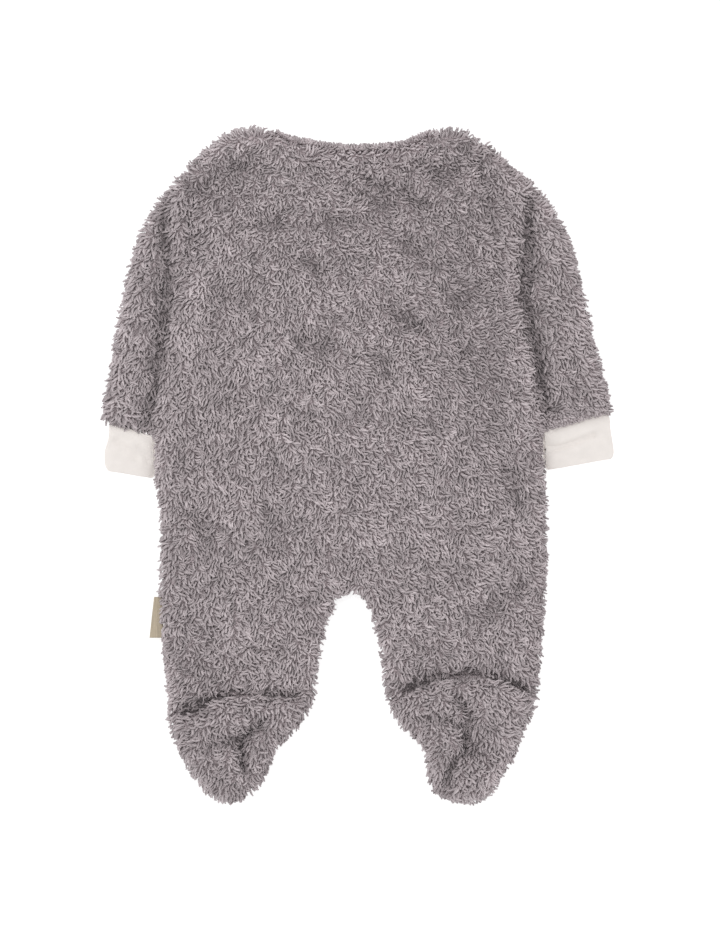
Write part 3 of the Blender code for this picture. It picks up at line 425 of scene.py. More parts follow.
class PileSettings(bpy.types.PropertyGroup):
    length: FloatProperty(
        name="Lock length",
        description="Length of a lock from root to tip",
        default=5.9 * MM,
        unit="LENGTH",
    )
    width: FloatProperty(
        name="Lock width",
        description="Thickness of a lock",
        default=1.92 * MM,
        unit="LENGTH",
    )
    spacing: FloatProperty(
        name="Spacing",
        description="Least distance between the roots of two locks",
        default=1.53 * MM,
        unit="LENGTH",
    )
    depth: FloatProperty(
        name="Pile depth",
        description="Height of the pile over its cloth on the upper side",
        default=3.0 * MM,
        unit="LENGTH",
    )
    pressed: FloatProperty(
        name="Pressed depth",
        description="Height of the pile on the side that lies on the surface",
        default=2.2 * MM,
        unit="LENGTH",
    )
    clump: FloatProperty(
        name="Clump size",
        description="Width of the patches in which locks lie alike",
        default=16.0 * MM,
        unit="LENGTH",
    )
    tuft: FloatProperty(
        name="Tuft size",
        description="Width of a tuft of locks that lie side by side",
        default=4.2 * MM,
        unit="LENGTH",
    )
    light: FloatVectorProperty(
        name="Light locks",
        description="Colour of the lightest locks",
        default=(0.665, 0.591, 0.607),
        subtype="COLOR",
    )
    dark: FloatVectorProperty(
        name="Dark locks",
        description="Colour of the darkest locks",
        default=(0.24, 0.206, 0.213),
        subtype="COLOR",
    )
    # Darker roots are painted shade between the locks
    root: FloatVectorProperty(
        name="Roots",
        description="Colour of the locks at their roots",
        default=(0.53, 0.453, 0.47),
        subtype="COLOR",
    )
    seed: IntProperty(name="Seed", description="Another number gives other locks", default=7)


class JerseySettings(bpy.types.PropertyGroup):
    colour: FloatVectorProperty(
        name="Jersey",
        description="Colour of the cuffs",
        default=(0.855, 0.805, 0.77),
        subtype="COLOR",
    )
    wale: FloatProperty(
        name="Wale width",
        description="Width of one column of stitches",
        default=0.7 * MM,
        unit="LENGTH",
    )


class TapeSettings(bpy.types.PropertyGroup):
    colour: FloatVectorProperty(
        name="Tape",
        description="Colour of the label",
        default=(0.468, 0.394, 0.292),
        subtype="COLOR",
    )


class StageSettings(bpy.types.PropertyGroup):
    floor: FloatVectorProperty(
        name="Floor",
        description="Colour of the floor",
        default=(0.6, 0.6, 0.6),
        subtype="COLOR",
    )
    glow: FloatProperty(
        name="Floor glow",
        description="Light that the floor gives off",
        default=0.62,
        min=0.0,
    )
    sky: FloatProperty(
        name="Sky",
        description="Strength of the light from all round",
        default=0.93,
        min=0.0,
    )
    key: FloatProperty(
        name="Key light",
        description="Power of the large lamp overhead",
        default=10.0,
        unit="POWER",
    )


class OnesieSettings(bpy.types.PropertyGroup):
    pile: PointerProperty(type=PileSettings, name="Pile")
    jersey: PointerProperty(type=JerseySettings, name="Jersey")
    tape: PointerProperty(type=TapeSettings, name="Tape")
    stage: PointerProperty(type=StageSettings, name="Stage")


def settings():
    return bpy.context.scene.onesie


def new_material(name):
    """A material with nodes, its graph and its Principled shader."""
    material = bpy.data.materials.new(name)
    material.use_nodes = True
    return material, Graph(material.node_tree), material.node_tree.nodes["Principled BSDF"]


def set_sockets(node, values):
    """Give a node's sockets the plain values that hold all over a surface."""
    for name, value in values.items():
        node.inputs[name].default_value = value


def toned(colour, share):
    """A colour made lighter or darker."""
    return tuple(share * c for c in colour)


def object_place(graph):
    return graph.add("ShaderNodeTexCoord", output="Object")


def attribute(graph, name):
    return graph.add("ShaderNodeAttribute", {"attribute_name": name}, output="Fac")


def bump(graph, shader, height, distance, strength=1.0):
    """Low relief from a height between 0 and 1."""
    inputs = {"Strength": strength, "Distance": distance, "Height": height}
    graph.join(graph.add("ShaderNodeBump", {}, inputs), shader.inputs["Normal"])


YARN_FINISH = {"Roughness": 0.88, "Specular IOR Level": 0.15, "Sheen Weight": 0.25, "Sheen Roughness": 0.5}
FIBRE = 0.35 * MM  # width of the fibres of a lock
FIBRE_RELIEF = 0.12 * MM
FOOT_RUN = 0.62  # share of a lock over which the colour of its root goes over to that of its tip
STUB = 2.2 * MM  # width of the short ends of yarn on the ground
STUB_RELIEF = 0.9 * MM
STUB_SHARPNESS = 9.0  # the larger, the thinner the stubs


def pile_material():
    """Twisted yarn, each lock in its own tone. Its roots are darker, a painted shade between the locks,
    and the locks carry painted shade in creases and painted light on rises.
    """
    pile = settings().pile
    material, graph, shader = new_material("teddy_pile")
    shade = attribute(graph, "shade")
    tip = graph.mix(shade, pile.dark, pile.light)
    # Painted shade at the roots, darker still where a lock's shade is low
    foot = graph.mix(shade, toned(pile.root, 0.65), toned(pile.root, 1.25))
    colour = graph.mix(graph.ease(attribute(graph, "along"), 0.0, FOOT_RUN), foot, tip)
    graph.join(colour, shader.inputs["Base Color"])
    set_sockets(shader, YARN_FINISH)
    bump(graph, shader, graph.noise(object_place(graph), 1 / FIBRE, 2.0, 0.6), FIBRE_RELIEF, 0.5)
    return material


def ground_material():
    """The knitted ground that the pile grows from, with painted shade in the creases."""
    pile = settings().pile
    material, graph, shader = new_material("teddy_ground")
    stubs = graph.noise(object_place(graph), 1 / STUB, 1.0)
    stubs = (1.0 - abs(stubs - 0.5) * STUB_SHARPNESS).at_least(0.0)
    yarn = graph.mix(stubs, toned(pile.root, 0.95), toned(pile.dark, 1.6))
    # Painted shade: the ground goes darker where the cloth carries painted crease shade
    deep = graph.ease(attribute(graph, "deep"), 0.2, 1.3)
    graph.join(graph.mix(deep, yarn, toned(pile.dark, 0.7)), shader.inputs["Base Color"])
    set_sockets(shader, {"Roughness": 0.95})
    bump(graph, shader, stubs, STUB_RELIEF)
    return material


def coordinates(mesh):
    """The places and the normals of a mesh's points."""
    places = np.empty(len(mesh.vertices) * 3)
    mesh.vertices.foreach_get("co", places)
    ways = np.empty(len(mesh.vertices) * 3)
    mesh.vertices.foreach_get("normal", ways)
    return places.reshape(-1, 3), ways.reshape(-1, 3)


WELD = 0.02 * MM  # points of a node that are nearer than this are one point
QUAD_ANGLE = math.radians(40)  # triangles that meet at less than this are joined


def merged_copy(node, name, levels):
    """A node's mesh with its loose triangles joined to a smooth skin of quads."""
    work = bmesh.new()
    work.from_mesh(NODES[node].data)
    bmesh.ops.remove_doubles(work, verts=work.verts, dist=WELD)
    limits = {"angle_face_threshold": QUAD_ANGLE, "angle_shape_threshold": QUAD_ANGLE}
    bmesh.ops.join_triangles(work, faces=work.faces, **limits)
    mesh = bpy.data.meshes.new(name)
    work.to_mesh(mesh)
    work.free()
    carrier = put(name, mesh)
    smooth = carrier.modifiers.new("Smooth", "SUBSURF")
    smooth.levels = smooth.render_levels = levels
    return plain_mesh(carrier, name)


def put(name, mesh, *materials):
    """A new object for a mesh in the frame's own place."""
    thing = bpy.data.objects.new(name, mesh)
    bpy.context.scene.collection.objects.link(thing)
    for material in materials:
        mesh.materials.append(material)
    return thing


def plain_mesh(carrier, name):
    """The evaluated mesh of an object, which is then removed with its modifiers."""
    carrier.name = name + "_carrier"
    bpy.context.view_layer.update()
    depsgraph = bpy.context.evaluated_depsgraph_get()
    made = bpy.data.meshes.new_from_object(carrier.evaluated_get(depsgraph))
    old = carrier.data
    bpy.data.objects.remove(carrier)
    bpy.data.meshes.remove(old)
    made.name = name
    return made


def tree_of(meshes):
    """One tree of the triangles of several meshes, for rays."""
    verts, faces = [], []
    for mesh in meshes:
        base = len(verts)
        verts += [v.co.copy() for v in mesh.vertices]
        faces += [tuple(base + i for i in p.vertices) for p in mesh.polygons]
    return BVHTree.FromPolygons(verts, faces)


RAY_START = 0.15 * MM  # a ray begins this far off its own wall


def clear_way(places, ways, tree, reach):
    """How far it is from each place to the next wall in front of it, or infinity for none within reach."""
    found = [tree.ray_cast(Vector(p + n * RAY_START), Vector(n), reach)[3] for p, n in zip(places, ways)]
    return np.array([math.inf if d is None else d + RAY_START for d in found])


def covered(places, ways, tree, reach):
    """For each place, whether another wall lies in front of it within reach."""
    return np.isfinite(clear_way(places, ways, tree, reach))


def ease(value, low, high):
    """From 0 to 1 as the value goes from low to high."""
    t = np.clip((value - low) / (high - low), 0.0, 1.0)
    return t * t * (3 - 2 * t)


def bell(away, width):
    """1 in the middle, falling off softly to 0.37 at the width and to nearly nothing at twice that."""
    return np.exp(-((away / width) ** 2))


def distance_to_line(places, start, end):
    """How far each place is from the line between two points, seen from above."""
    run = end - start
    t = np.clip((places[:, :2] - start) @ run / (run @ run), 0, 1)
    return np.linalg.norm(places[:, :2] - start - t[:, None] * run, axis=1)


NOTHING = 1e-9  # least length of a way, so that it can be divided by
GAP = 14 * MM  # pieces nearer to each other than this have no free edge between them
LEVELS = (3 * MM, 8 * MM)  # heights at which each piece is looked for
BESIDE = 1.4  # millimetres outside an edge at which a level look begins
BEYOND = 1.2  # millimetres outside an edge at which a look straight up or down begins
FAR = 0.1  # well past the garment
EDGE_SHARES = np.linspace(0, 0.8, 5)  # where points are taken along each line between two free points
NEIGHBOURS = 12  # nearest of these points, which give the way out at a place
NEAREST = 0.6 * MM  # added to their distances, so that none of them counts for everything


class Outline:
    """The garment's free edges, as seen from one side."""

    def __init__(self, skins, tree, look):
        places, ways = [], []
        for mesh in skins.values():
            p, n = coordinates(mesh)
            level = n * (1, 1, 0)
            level /= np.maximum(np.linalg.norm(level, axis=1), NOTHING)[:, None]
            free = self.free_points(p, n, level, tree, look)
            ends = np.array([e.vertices for e in mesh.edges])
            first, last = ends[free[ends].all(axis=1)].T
            for t in EDGE_SHARES:
                places.append(p[first] * (1 - t) + p[last] * t)
                ways.append(level[first] * (1 - t) + level[last] * t)
        self.ways = np.concatenate(ways)[:, :2]
        places = np.concatenate(places)[:, :2]
        self.near = kdtree.KDTree(len(places))
        for i, (x, y) in enumerate(places):
            self.near.insert((x, y, 0.0), i)
        self.near.balance()

    def free_points(self, places, ways, level, tree, look):
        """Which points of a piece have nothing beside them, and nothing that hides them from that side."""
        free = np.abs(ways[:, 2]) < 0.5
        free[free] = ~covered(places[free], level[free], tree, GAP)
        for height in LEVELS:
            beside = places[free] * (1, 1, 0) + level[free] * BESIDE * MM + (0, 0, height)
            free[free] = ~covered(beside, level[free], tree, GAP)
        straight = np.tile((0.0, 0.0, look), (len(places), 1))
        free[free] = ~covered(places[free] + level[free] * BEYOND * MM, straight[free], tree, FAR)
        return free

    def distance_and_way(self, places):
        """How far each place is inside the nearest free edge, and the way out there."""
        distance, way = np.empty(len(places)), np.empty((len(places), 2))
        for k, p in enumerate(places):
            found = self.near.find_n((p[0], p[1], 0.0), NEIGHBOURS)
            weights = np.array([1 / (d + NEAREST) ** 2 for _, _, d in found])
            mean = (self.ways[[i for _, i, _ in found]] * weights[:, None]).sum(0)
            way[k] = mean / max(np.linalg.norm(mean), NOTHING)
            distance[k] = found[0][2]
        return distance, way


def nap_at(places):
    """The way the pile runs at places, how much its locks swirl and how stout they are."""
    xy = places[:, :2] / MM
    total = np.zeros((len(xy), 2))
    swirl, stout, weight = np.zeros((3, len(xy)))
    for nap in NAPS:
        w = 1 / (((xy - (nap.x, nap.y)) ** 2).sum(1) + NAP_REACH**2) ** 2
        angle = math.radians(nap.way)
        total += w[:, None] * np.array([math.cos(angle), math.sin(angle)])
        swirl += w * nap.swirl
        stout += w * nap.stout
        weight += w
    return total / np.linalg.norm(total, axis=1)[:, None], swirl / weight, stout / weight


def trim_at(places):
    """The length of the pile at places, as a share of its usual length."""
    share = np.ones(len(places))
    for trim in TRIMS:
        away = np.linalg.norm(places[:, :2] / MM - (trim.x, trim.y), axis=1)
        share -= trim.share * bell(away, trim.reach)
    return share


def folds_at(places):
    """How far the cloth's upper side lies below its main form at places, and how much painted shade its pile
    has there (painted light where below 0).
    """
    depth, shade = np.zeros((2, len(places)))
    for fold in FOLDS:
        line = np.array(fold.line, float) * MM
        away = np.min([distance_to_line(places, *ends) for ends in zip(line, line[1:])], axis=0)
        near = bell(away, fold.width * MM)
        depth += fold.depth * MM * near
        shade += fold.shade * near
    return depth, shade


EDGE_RUN = 18 * MM  # the band inside a free edge that the cloth's inset is spread over
EDGE_PILE = 0.6 * MM  # of the pile's depth, that the cloth isn't inset by at a free edge
EDGE_BAND = (2 * MM, 11 * MM)  # in from a free edge, where the locks' way out goes over to the nap
EDGE_SLANT = 0.75  # how far the pile's way turns the locks of a free edge aside
EDGE_CALM = 0.4  # share of the pile's own swirl that a free edge goes without
EDGE_SWIRL = 0.16  # and the swirl that it has of its own
UNDERSIDE_SHARE = 0.29  # of the locks, on the side that lies on the surface
LEAST_LAYER = 1.2 * MM  # thickness left of a cloth's upper layer in its deepest creases
LEAST_HEIGHT = 0.2 * MM  # of a cloth over the surface that the garment lies on
SEAM_REACH = 3.0 * MM  # widest gap that a cloth's sides close at a seam
SEAM_FILL = 0.3 * MM  # how far they reach past it
STEEP = 0.4  # sides whose normals rise or fall by less than this are the edges of a panel
FACES_PANEL = 0.3  # sides whose normals point by more than this at the next panel have no pile
BAND_SINK = 0.9 * MM  # of the neck strip's cloth, under its pile
BAND_FILL = 1.3 * MM  # how far the neck strip's cloth reaches in to the back's edge
BAND_LOCK = 0.56  # the length of the neck strip's locks, as a share of the others'
BAND_END = 0.6  # and at its two ends, as a share of that
BAND_END_RUN = 16 * MM
BAND_TURN = (2.8 * MM, 4.8 * MM)  # in from its free edge, where its locks turn over towards the back
BAND_SWIRL = 0.3
BAND_SPACING = 0.75
SINK_RUN = 1.8  # height in pile depths over the inner side, where the cloth lies 0.76 of a depth down
STOUT_ROOM = 1.35  # power of their stoutness by which stout locks stand less close
STOUT_LENGTH = 0.7  # and by which they are longer
CREASE_THIN = 0.12  # share of the locks that a crease goes without
CREASE_SHORT = 0.15  # share by which locks are shorter in a crease, over a rim and on the underside
RIM_SHORT = 0.1
UNDER_SHORT = 0.12
TIP_LEAN = 1.76  # lean of a lock's tip in radians, where 1.57 is level with the cloth
CURLY_LEAN = 0.3  # less of it where locks swirl, and over a rim
RIM_LEAN = 0.62
STUD_RADIUS = 5.0 * MM
STUD_CLEAR = 0.8 * MM  # no lock grows nearer to a stud than this
STUD_RUN = 8 * MM  # locks reach their full length this far from it
STUD_LOCK = 0.45  # the length of those beside it, as a share of the others'
STUDS = [f"stud_{k}" for k in range(1, 7)]


def middle_of(node):
    low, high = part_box(node)
    return (low + high) / 2


def sink(height, depth):
    """Height of the cloth under the surface of its pile."""
    return height - depth * np.tanh(height / (SINK_RUN * depth))


def inner_side(node, places):
    """Height of the side of a panel that faces the next panel. A sleeve has pile all round, and there it is
    the height of the seams."""
    heights = np.full(len(places), SEAM_LEVEL)
    if node.startswith("sleeve"):
        return heights
    look = -1.0 if node.startswith("front") else 1.0
    own = tree_of([NODES[node].data])
    for i, p in enumerate(places):
        hit = own.ray_cast(Vector((p[0], p[1], -FAR * look)), Vector((0, 0, look)))[0]
        heights[i] = hit.z if hit else p[2]
    return heights


def cloth_mesh(part, skin, tree, outline):
    """The cloth of one node: a pile's depth inside the node's own surface, with what its pile needs to know
    at each point."""
    pile = settings().pile
    places, ways = coordinates(skin)
    is_front, is_sleeve, is_band = (part.node.startswith(kind) for kind in ("front", "sleeve", "neck"))
    inner = inner_side(part.node, places)
    rise = places[:, 2] - inner
    upper = np.where(rise > 0, sink(np.maximum(rise, 0), pile.depth), rise)
    height = np.where(rise < 0, -sink(np.maximum(-rise, 0), pile.pressed), upper)
    distance, out = outline.distance_and_way(places)
    inset = (pile.depth - EDGE_PILE) * (1 - np.clip(distance / EDGE_RUN, 0, 1)) ** 2
    seam = np.where(np.abs(ways[:, 2]) < STEEP, clear_way(places, ways, tree, SEAM_REACH), math.inf)
    hidden = np.isfinite(seam)
    fill = np.where(hidden, seam + SEAM_FILL, 0.0)
    if is_front:
        hidden |= ways[:, 2] > FACES_PANEL
    elif not is_sleeve:
        hidden |= ways[:, 2] < -FACES_PANEL
    depth, shade = folds_at(places)
    top = ease(ways[:, 2], 0.0, 0.6)
    if is_band or is_front:
        top[:] = 0.0
    height = np.where(height > LEAST_LAYER, np.maximum(height - depth * top, LEAST_LAYER), height)
    made = places.copy()
    if is_band:
        outer = ease((ways[:, :2] * out).sum(1), -0.4, 0.4)
        made -= ways * (BAND_SINK * outer - BAND_FILL * (1 - outer))[:, None]
    else:
        made[:, :2] += ways[:, :2] * fill[:, None] - out * inset[:, None]
        made[:, 2] = inner + height
    made[:, 2] = np.maximum(made[:, 2], LEAST_HEIGHT)
    mesh = skin.copy()
    mesh.name = part.node + "_cloth"
    mesh.vertices.foreach_set("co", made.ravel())
    mesh.update()
    # The painted crease shade of each point, painted light below 0, on the upper side only
    deep = np.clip(shade * top, -1, 1.5)
    for name, values in pile_marks(part.node, places, ways, distance, out, hidden, deep).items():
        mark_points(mesh, name, values)
    return mesh


def pile_marks(node, places, ways, distance, out, hidden, deep):
    """What the pile needs to know at each point of a cloth: its way, how it swirls and leans, how close, long
    and stout its locks are, and the painted shade of creases and painted light of rises that they carry."""
    way, swirl, stout = nap_at(places)
    edge = 1 - ease(distance, *EDGE_BAND)
    beside = way - out * (way * out).sum(1)[:, None]
    way = way * (1 - edge)[:, None] + (out + EDGE_SLANT * beside) * edge[:, None]
    under = ease(-ways[:, 2], 0.2, 0.7)
    rim = ease(1 - np.abs(ways[:, 2]), 0.35, 0.8) * edge
    creased = np.clip(deep, 0, 1)
    close = (1 - (1 - UNDERSIDE_SHARE) * under) * (1 - CREASE_THIN * creased)
    close = np.where(hidden, 0.0, close) * np.minimum(1 / stout**STOUT_ROOM, 1)
    long = stout**STOUT_LENGTH * (1.1 - 0.15 * swirl) * (1 - RIM_SHORT * rim) * (1 - UNDER_SHORT * under)
    long *= 1 - CREASE_SHORT * creased
    long *= trim_at(places)
    if node == "neck_band":
        ends = np.minimum(places[:, 0] - places[:, 0].min(), places[:, 0].max() - places[:, 0])
        inner = ease(distance, *BAND_TURN)
        way = out * (1 - 2 * inner)[:, None]
        swirl = swirl * BAND_SWIRL
        long = BAND_LOCK * trim_at(places) * (BAND_END + (1 - BAND_END) * ease(ends, 0, BAND_END_RUN))
        long *= 1 + 0.5 * inner
    if node.startswith("front"):
        studs = [np.array(middle_of(name)[:2]) for name in STUDS]
        near = np.min([np.linalg.norm(places[:, :2] - spot, axis=1) for spot in studs], axis=0)
        close *= near > STUD_RADIUS + STUD_CLEAR
        long *= STUD_LOCK + (1 - STUD_LOCK) * ease(near, STUD_RADIUS, STUD_RADIUS + STUD_RUN)
    return {
        "nap": np.column_stack([way, np.zeros(len(way))]),
        "swirl": swirl * (1 - EDGE_CALM * edge) + EDGE_SWIRL * edge,
        "thick": close,
        "lean": TIP_LEAN - CURLY_LEAN * swirl * (1 - edge) - RIM_LEAN * rim,
        "long": long,
        "stout": stout,
        "deep": deep,
    }


def mark_points(mesh, name, values):
    """Give each point of a mesh a number, or a vector."""
    kind, field = ("FLOAT_VECTOR", "vector") if values.ndim == 2 else ("FLOAT", "value")
    layer = mesh.attributes.new(name, kind, "POINT")
    layer.data.foreach_set(field, values.astype(np.float32).ravel())


PILE_SOCKETS = (
    ("Cloth", "Geometry"),
    ("Length", "Float"),
    ("Width", "Float"),
    ("Spacing", "Float"),
    ("Clump", "Float"),
    ("Tuft", "Float"),
    ("From Y", "Float"),
    ("To Y", "Float"),
    ("Seed", "Int"),
    ("Material", "Material"),
)
ROOT_DEPTH = 1.1 * MM  # how deep in the cloth a lock begins
LOCK_POINTS = 4
LOCK_SIDES = 3
# How locks differ. Angles are in radians, and a pair is the least and the most that a lock draws for itself
PATCH_TURN = 3.4  # how far the locks of whole patches turn from the nap, from one to the next, in full swirl
TUFT_TURN = 1.5  # and those of whole tufts
CALM_TURN = 0.2  # share of a tuft's turn that calm pile has too
OWN_TURN = (-0.22, 0.22)
ROOT_LEAN = (0.05, 0.5)
OWN_TIP_LEAN = (-0.35, 0.25)
TUFT_CURL = 2.0  # how far the locks of a tuft curl to one side
OWN_CURL = (-0.6, 0.6)
CALM_CURL, SWIRL_CURL = 0.55, 0.5  # share of the curl in calm pile, and what swirl adds to it
TUFT_LENGTH = 0.3  # part of a lock's length that its tuft gives
OWN_LENGTH = (0.65, 1.07)
OWN_WIDTH = (0.78, 1.2)
# How the shade of locks varies: its middle, wide and narrow clouds with their sizes, and a lock's own part
MIDDLE_SHADE = 0.63
WIDE_CLOUD, WIDE_SHADE = 20 * MM, 0.8
NARROW_CLOUD, NARROW_SHADE = 6 * MM, 1.3
OWN_SHADE = (-0.11, 0.11)
STOUT_EVEN = 3.0  # power of the stoutness that evens the narrow clouds out
# Painted shade: how much darker a crease makes its locks, and a rise lighter
CREASE_SHADE = 0.36
# The form of a lock: how much thinner its tip is, how soon that sets in, and the width of its root as a share
TIP_TAPER, TIP_POWER = 0.38, 5
ROOT_WIDTH = 0.7
ROOT_RUN = 3.0  # a lock has its full width from one third of the way along
LOWEST = 0.68  # height of the lowest lock's middle, as a share of its width
LIFT_FROM, LIFT = 0.96, 1.4  # stoutness from which roots take on the colour of tips, with less painted root shade, and how fast that grows
SHEET_EDGE = 0.02  # margin of the map that holds each lock's shade and the way along it


def pile_tree():
    """Locks of pile on a cloth. Each is a curve that leaves the cloth steeply, bends over along the nap and
    curls to one side."""
    tree = bpy.data.node_groups.new("Pile", "GeometryNodeTree")
    tree.is_modifier = True
    for name, kind in PILE_SOCKETS:
        tree.interface.new_socket(name=name, in_out="INPUT", socket_type="NodeSocket" + kind)
    tree.interface.new_socket(name="Pile", in_out="OUTPUT", socket_type="NodeSocketGeometry")
    graph = Graph(tree)
    entry = tree.nodes.new("NodeGroupInput")
    given = {name: Value(graph, entry.outputs[name]) for name, _ in PILE_SOCKETS}

    def named(name, kind="FLOAT"):
        return graph.add("GeometryNodeInputNamedAttribute", {"data_type": kind}, {"Name": name})

    def keep(geometry, name, value, kind="FLOAT", domain="POINT"):
        inputs = {"Geometry": geometry, "Name": name, "Value": value}
        return graph.add("GeometryNodeStoreNamedAttribute", {"data_type": kind, "domain": domain}, inputs)

    def chance(ends, salt):
        """A number between two, drawn by each lock for itself. Another salt gives another draw."""
        inputs = {"Min": ends[0], "Max": ends[1], "Seed": given["Seed"] + float(salt)}
        return graph.add("FunctionNodeRandomValue", {"data_type": "FLOAT"}, inputs)

    # Roots, spread evenly over the cloth between the two heights
    spacing = given["Spacing"]
    inputs = {
        "Mesh": given["Cloth"],
        "Distance Min": spacing,
        "Density Max": 4.0 / (spacing * spacing),
        "Density Factor": named("thick"),
        "Seed": given["Seed"],
    }
    points = graph.add("GeometryNodeDistributePointsOnFaces", {"distribute_method": "POISSON"}, inputs)
    up = Value(graph, points.socket.node.outputs["Normal"])
    points = keep(points, "up", up, "FLOAT_VECTOR")
    place = graph.add("GeometryNodeInputPosition")
    y = place.axis(1)
    inputs = {"Geometry": points, "Selection": (y > given["From Y"]) * (y < given["To Y"])}
    points = graph.add("GeometryNodeSeparateGeometry", {"domain": "POINT"}, inputs)

    # What each lock keeps from its root
    up = named("up", "FLOAT_VECTOR")
    nap = named("nap", "FLOAT_VECTOR")
    swirl = named("swirl")
    level = (nap - up * nap.dot(up)).unit()
    patch = graph.noise(place, 1.0 / given["Clump"], 1.0) - 0.5
    inputs = {"Vector": place, "Scale": 1.0 / given["Tuft"], "Randomness": 1.0}
    tuft = graph.add("ShaderNodeTexVoronoi", {}, inputs, "Color")
    turn = patch * PATCH_TURN * swirl + (tuft.axis(0) - 0.5) * TUFT_TURN * (swirl + CALM_TURN)
    turn = turn + chance(OWN_TURN, 11)
    ahead = (level * turn.cos() + up.cross(level) * turn.sin()).unit()
    start = chance(ROOT_LEAN, 12)
    tip = named("lean") + chance(OWN_TIP_LEAN, 13)
    curl = (tuft.axis(1) - 0.5) * TUFT_CURL + chance(OWN_CURL, 14)
    curl = curl * (CALM_CURL + SWIRL_CURL * swirl)
    reach = given["Length"] * named("long") * (tuft.axis(2) * TUFT_LENGTH + chance(OWN_LENGTH, 15))
    wide = (graph.noise(place, 1 / WIDE_CLOUD, 2.0) - 0.5) * WIDE_SHADE
    narrow = (graph.noise(place, 1 / NARROW_CLOUD, 1.0) - 0.5) * NARROW_SHADE + chance(OWN_SHADE, 16)
    # A lock's shade is its own tone, with painted shade in creases and painted light on rises
    shade = MIDDLE_SHADE + wide + narrow / named("stout") ** STOUT_EVEN - named("deep") * CREASE_SHADE
    for name, value, kind in (
        ("root", place, "FLOAT_VECTOR"),
        ("ahead", ahead, "FLOAT_VECTOR"),
        ("start", start, "FLOAT"),
        ("finish", tip, "FLOAT"),
        ("curl", curl, "FLOAT"),
        ("reach", reach, "FLOAT"),
        ("thickness", chance(OWN_WIDTH, 17) * named("stout"), "FLOAT"),
        ("shade", shade.at_least(0.0).at_most(1.0), "FLOAT"),
    ):
        points = keep(points, name, value, kind)

    # The locks' middle lines
    line = graph.add("GeometryNodeCurvePrimitiveLine", {}, {"End": (0.0, 0.0, 1 * MM)})
    line = graph.add("GeometryNodeResampleCurve", {}, {"Curve": line, "Count": LOCK_POINTS})
    locks = graph.add("GeometryNodeInstanceOnPoints", {}, {"Points": points, "Instance": line})
    locks = graph.add("GeometryNodeRealizeInstances", {}, {"Geometry": locks})
    locks = keep(locks, "along", graph.add("GeometryNodeSplineParameter", output="Factor"))
    along = named("along")
    start = named("start")
    up = named("up", "FLOAT_VECTOR")
    ahead = named("ahead", "FLOAT_VECTOR")
    whole_bend = named("finish") - start
    bend = start + whole_bend * along
    size = named("reach") / whole_bend
    forward = size * (start.cos() - bend.cos())
    rise = size * (bend.sin() - start.sin())
    swing = named("curl") * along
    aside = ahead * swing.cos() + up.cross(ahead) * swing.sin()
    spot = named("root", "FLOAT_VECTOR") + up * (rise - ROOT_DEPTH) + aside * forward
    inputs = {0: spot.axis(0), 1: spot.axis(1), 2: spot.axis(2).at_least(given["Width"] * LOWEST)}
    spot = graph.add("ShaderNodeCombineXYZ", {}, inputs)
    locks = graph.add("GeometryNodeSetPosition", {}, {"Geometry": locks, "Position": spot})

    # Their bodies
    blunt = 1.0 - TIP_TAPER * along**TIP_POWER
    foot = ROOT_WIDTH + (1 - ROOT_WIDTH) * (along * ROOT_RUN).at_most(1.0)
    radius = given["Width"] * 0.5 * named("thickness") * blunt * foot
    circle = {"Resolution": LOCK_SIDES, "Radius": 1.0}
    ring = graph.add("GeometryNodeCurvePrimitiveCircle", {"mode": "RADIUS"}, circle)
    inputs = {"Curve": locks, "Profile Curve": ring, "Scale": radius, "Fill Caps": True}
    locks = graph.add("GeometryNodeCurveToMesh", {}, inputs)
    lift = ((named("stout") - LIFT_FROM) * LIFT).at_least(0.0)
    locks = keep(locks, "along", lift + (1.0 - lift) * along)
    across, up_it = (named(name) * (1 - 2 * SHEET_EDGE) + SHEET_EDGE for name in ("shade", "along"))
    sheet = graph.add("ShaderNodeCombineXYZ", {}, {0: across, 1: up_it})
    locks = keep(locks, "OFBake", sheet, "FLOAT2", "CORNER")
    locks = graph.add("GeometryNodeSetShadeSmooth", {}, {"Geometry": locks})
    locks = graph.add("GeometryNodeRealizeInstances", {}, {"Geometry": locks})
    locks = graph.add("GeometryNodeSetMaterial", {}, {"Geometry": locks, "Material": given["Material"]})
    leave = tree.nodes.new("NodeGroupOutput")
    tree.links.new(locks.socket, leave.inputs["Pile"])
    return tree


PILE_DATA = ("shade", "along", "OFBake")  # what the pile's material and its map need


def grow(name, cloth, low, high, material, tree, spacing=1.0):
    """The pile of a cloth between two heights, as one mesh."""
    pile = settings().pile
    carrier = put(name, cloth.copy())
    modifier = carrier.modifiers.new("Pile", "NODES")
    modifier.node_group = tree
    values = {
        "Length": pile.length,
        "Width": pile.width,
        "Spacing": pile.spacing * spacing,
        "Clump": pile.clump,
        "Tuft": pile.tuft,
        "From Y": low,
        "To Y": high,
        "Seed": pile.seed,
        "Material": material,
    }
    for item in tree.interface.items_tree:
        if item.in_out == "INPUT" and item.name in values:
            modifier[item.identifier] = values[item.name]
    mesh = plain_mesh(carrier, name)
    for layer in [a.name for a in mesh.attributes if not a.is_required and not a.is_internal]:
        if layer not in PILE_DATA and layer in mesh.attributes and not layer.startswith("sharp"):
            mesh.attributes.remove(mesh.attributes[layer])
    return put(name, mesh)


def lay(cut):
    """Makes a list of the cloths that a cut piece lies on, which is not kept."""
    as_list(cut.rests_on)


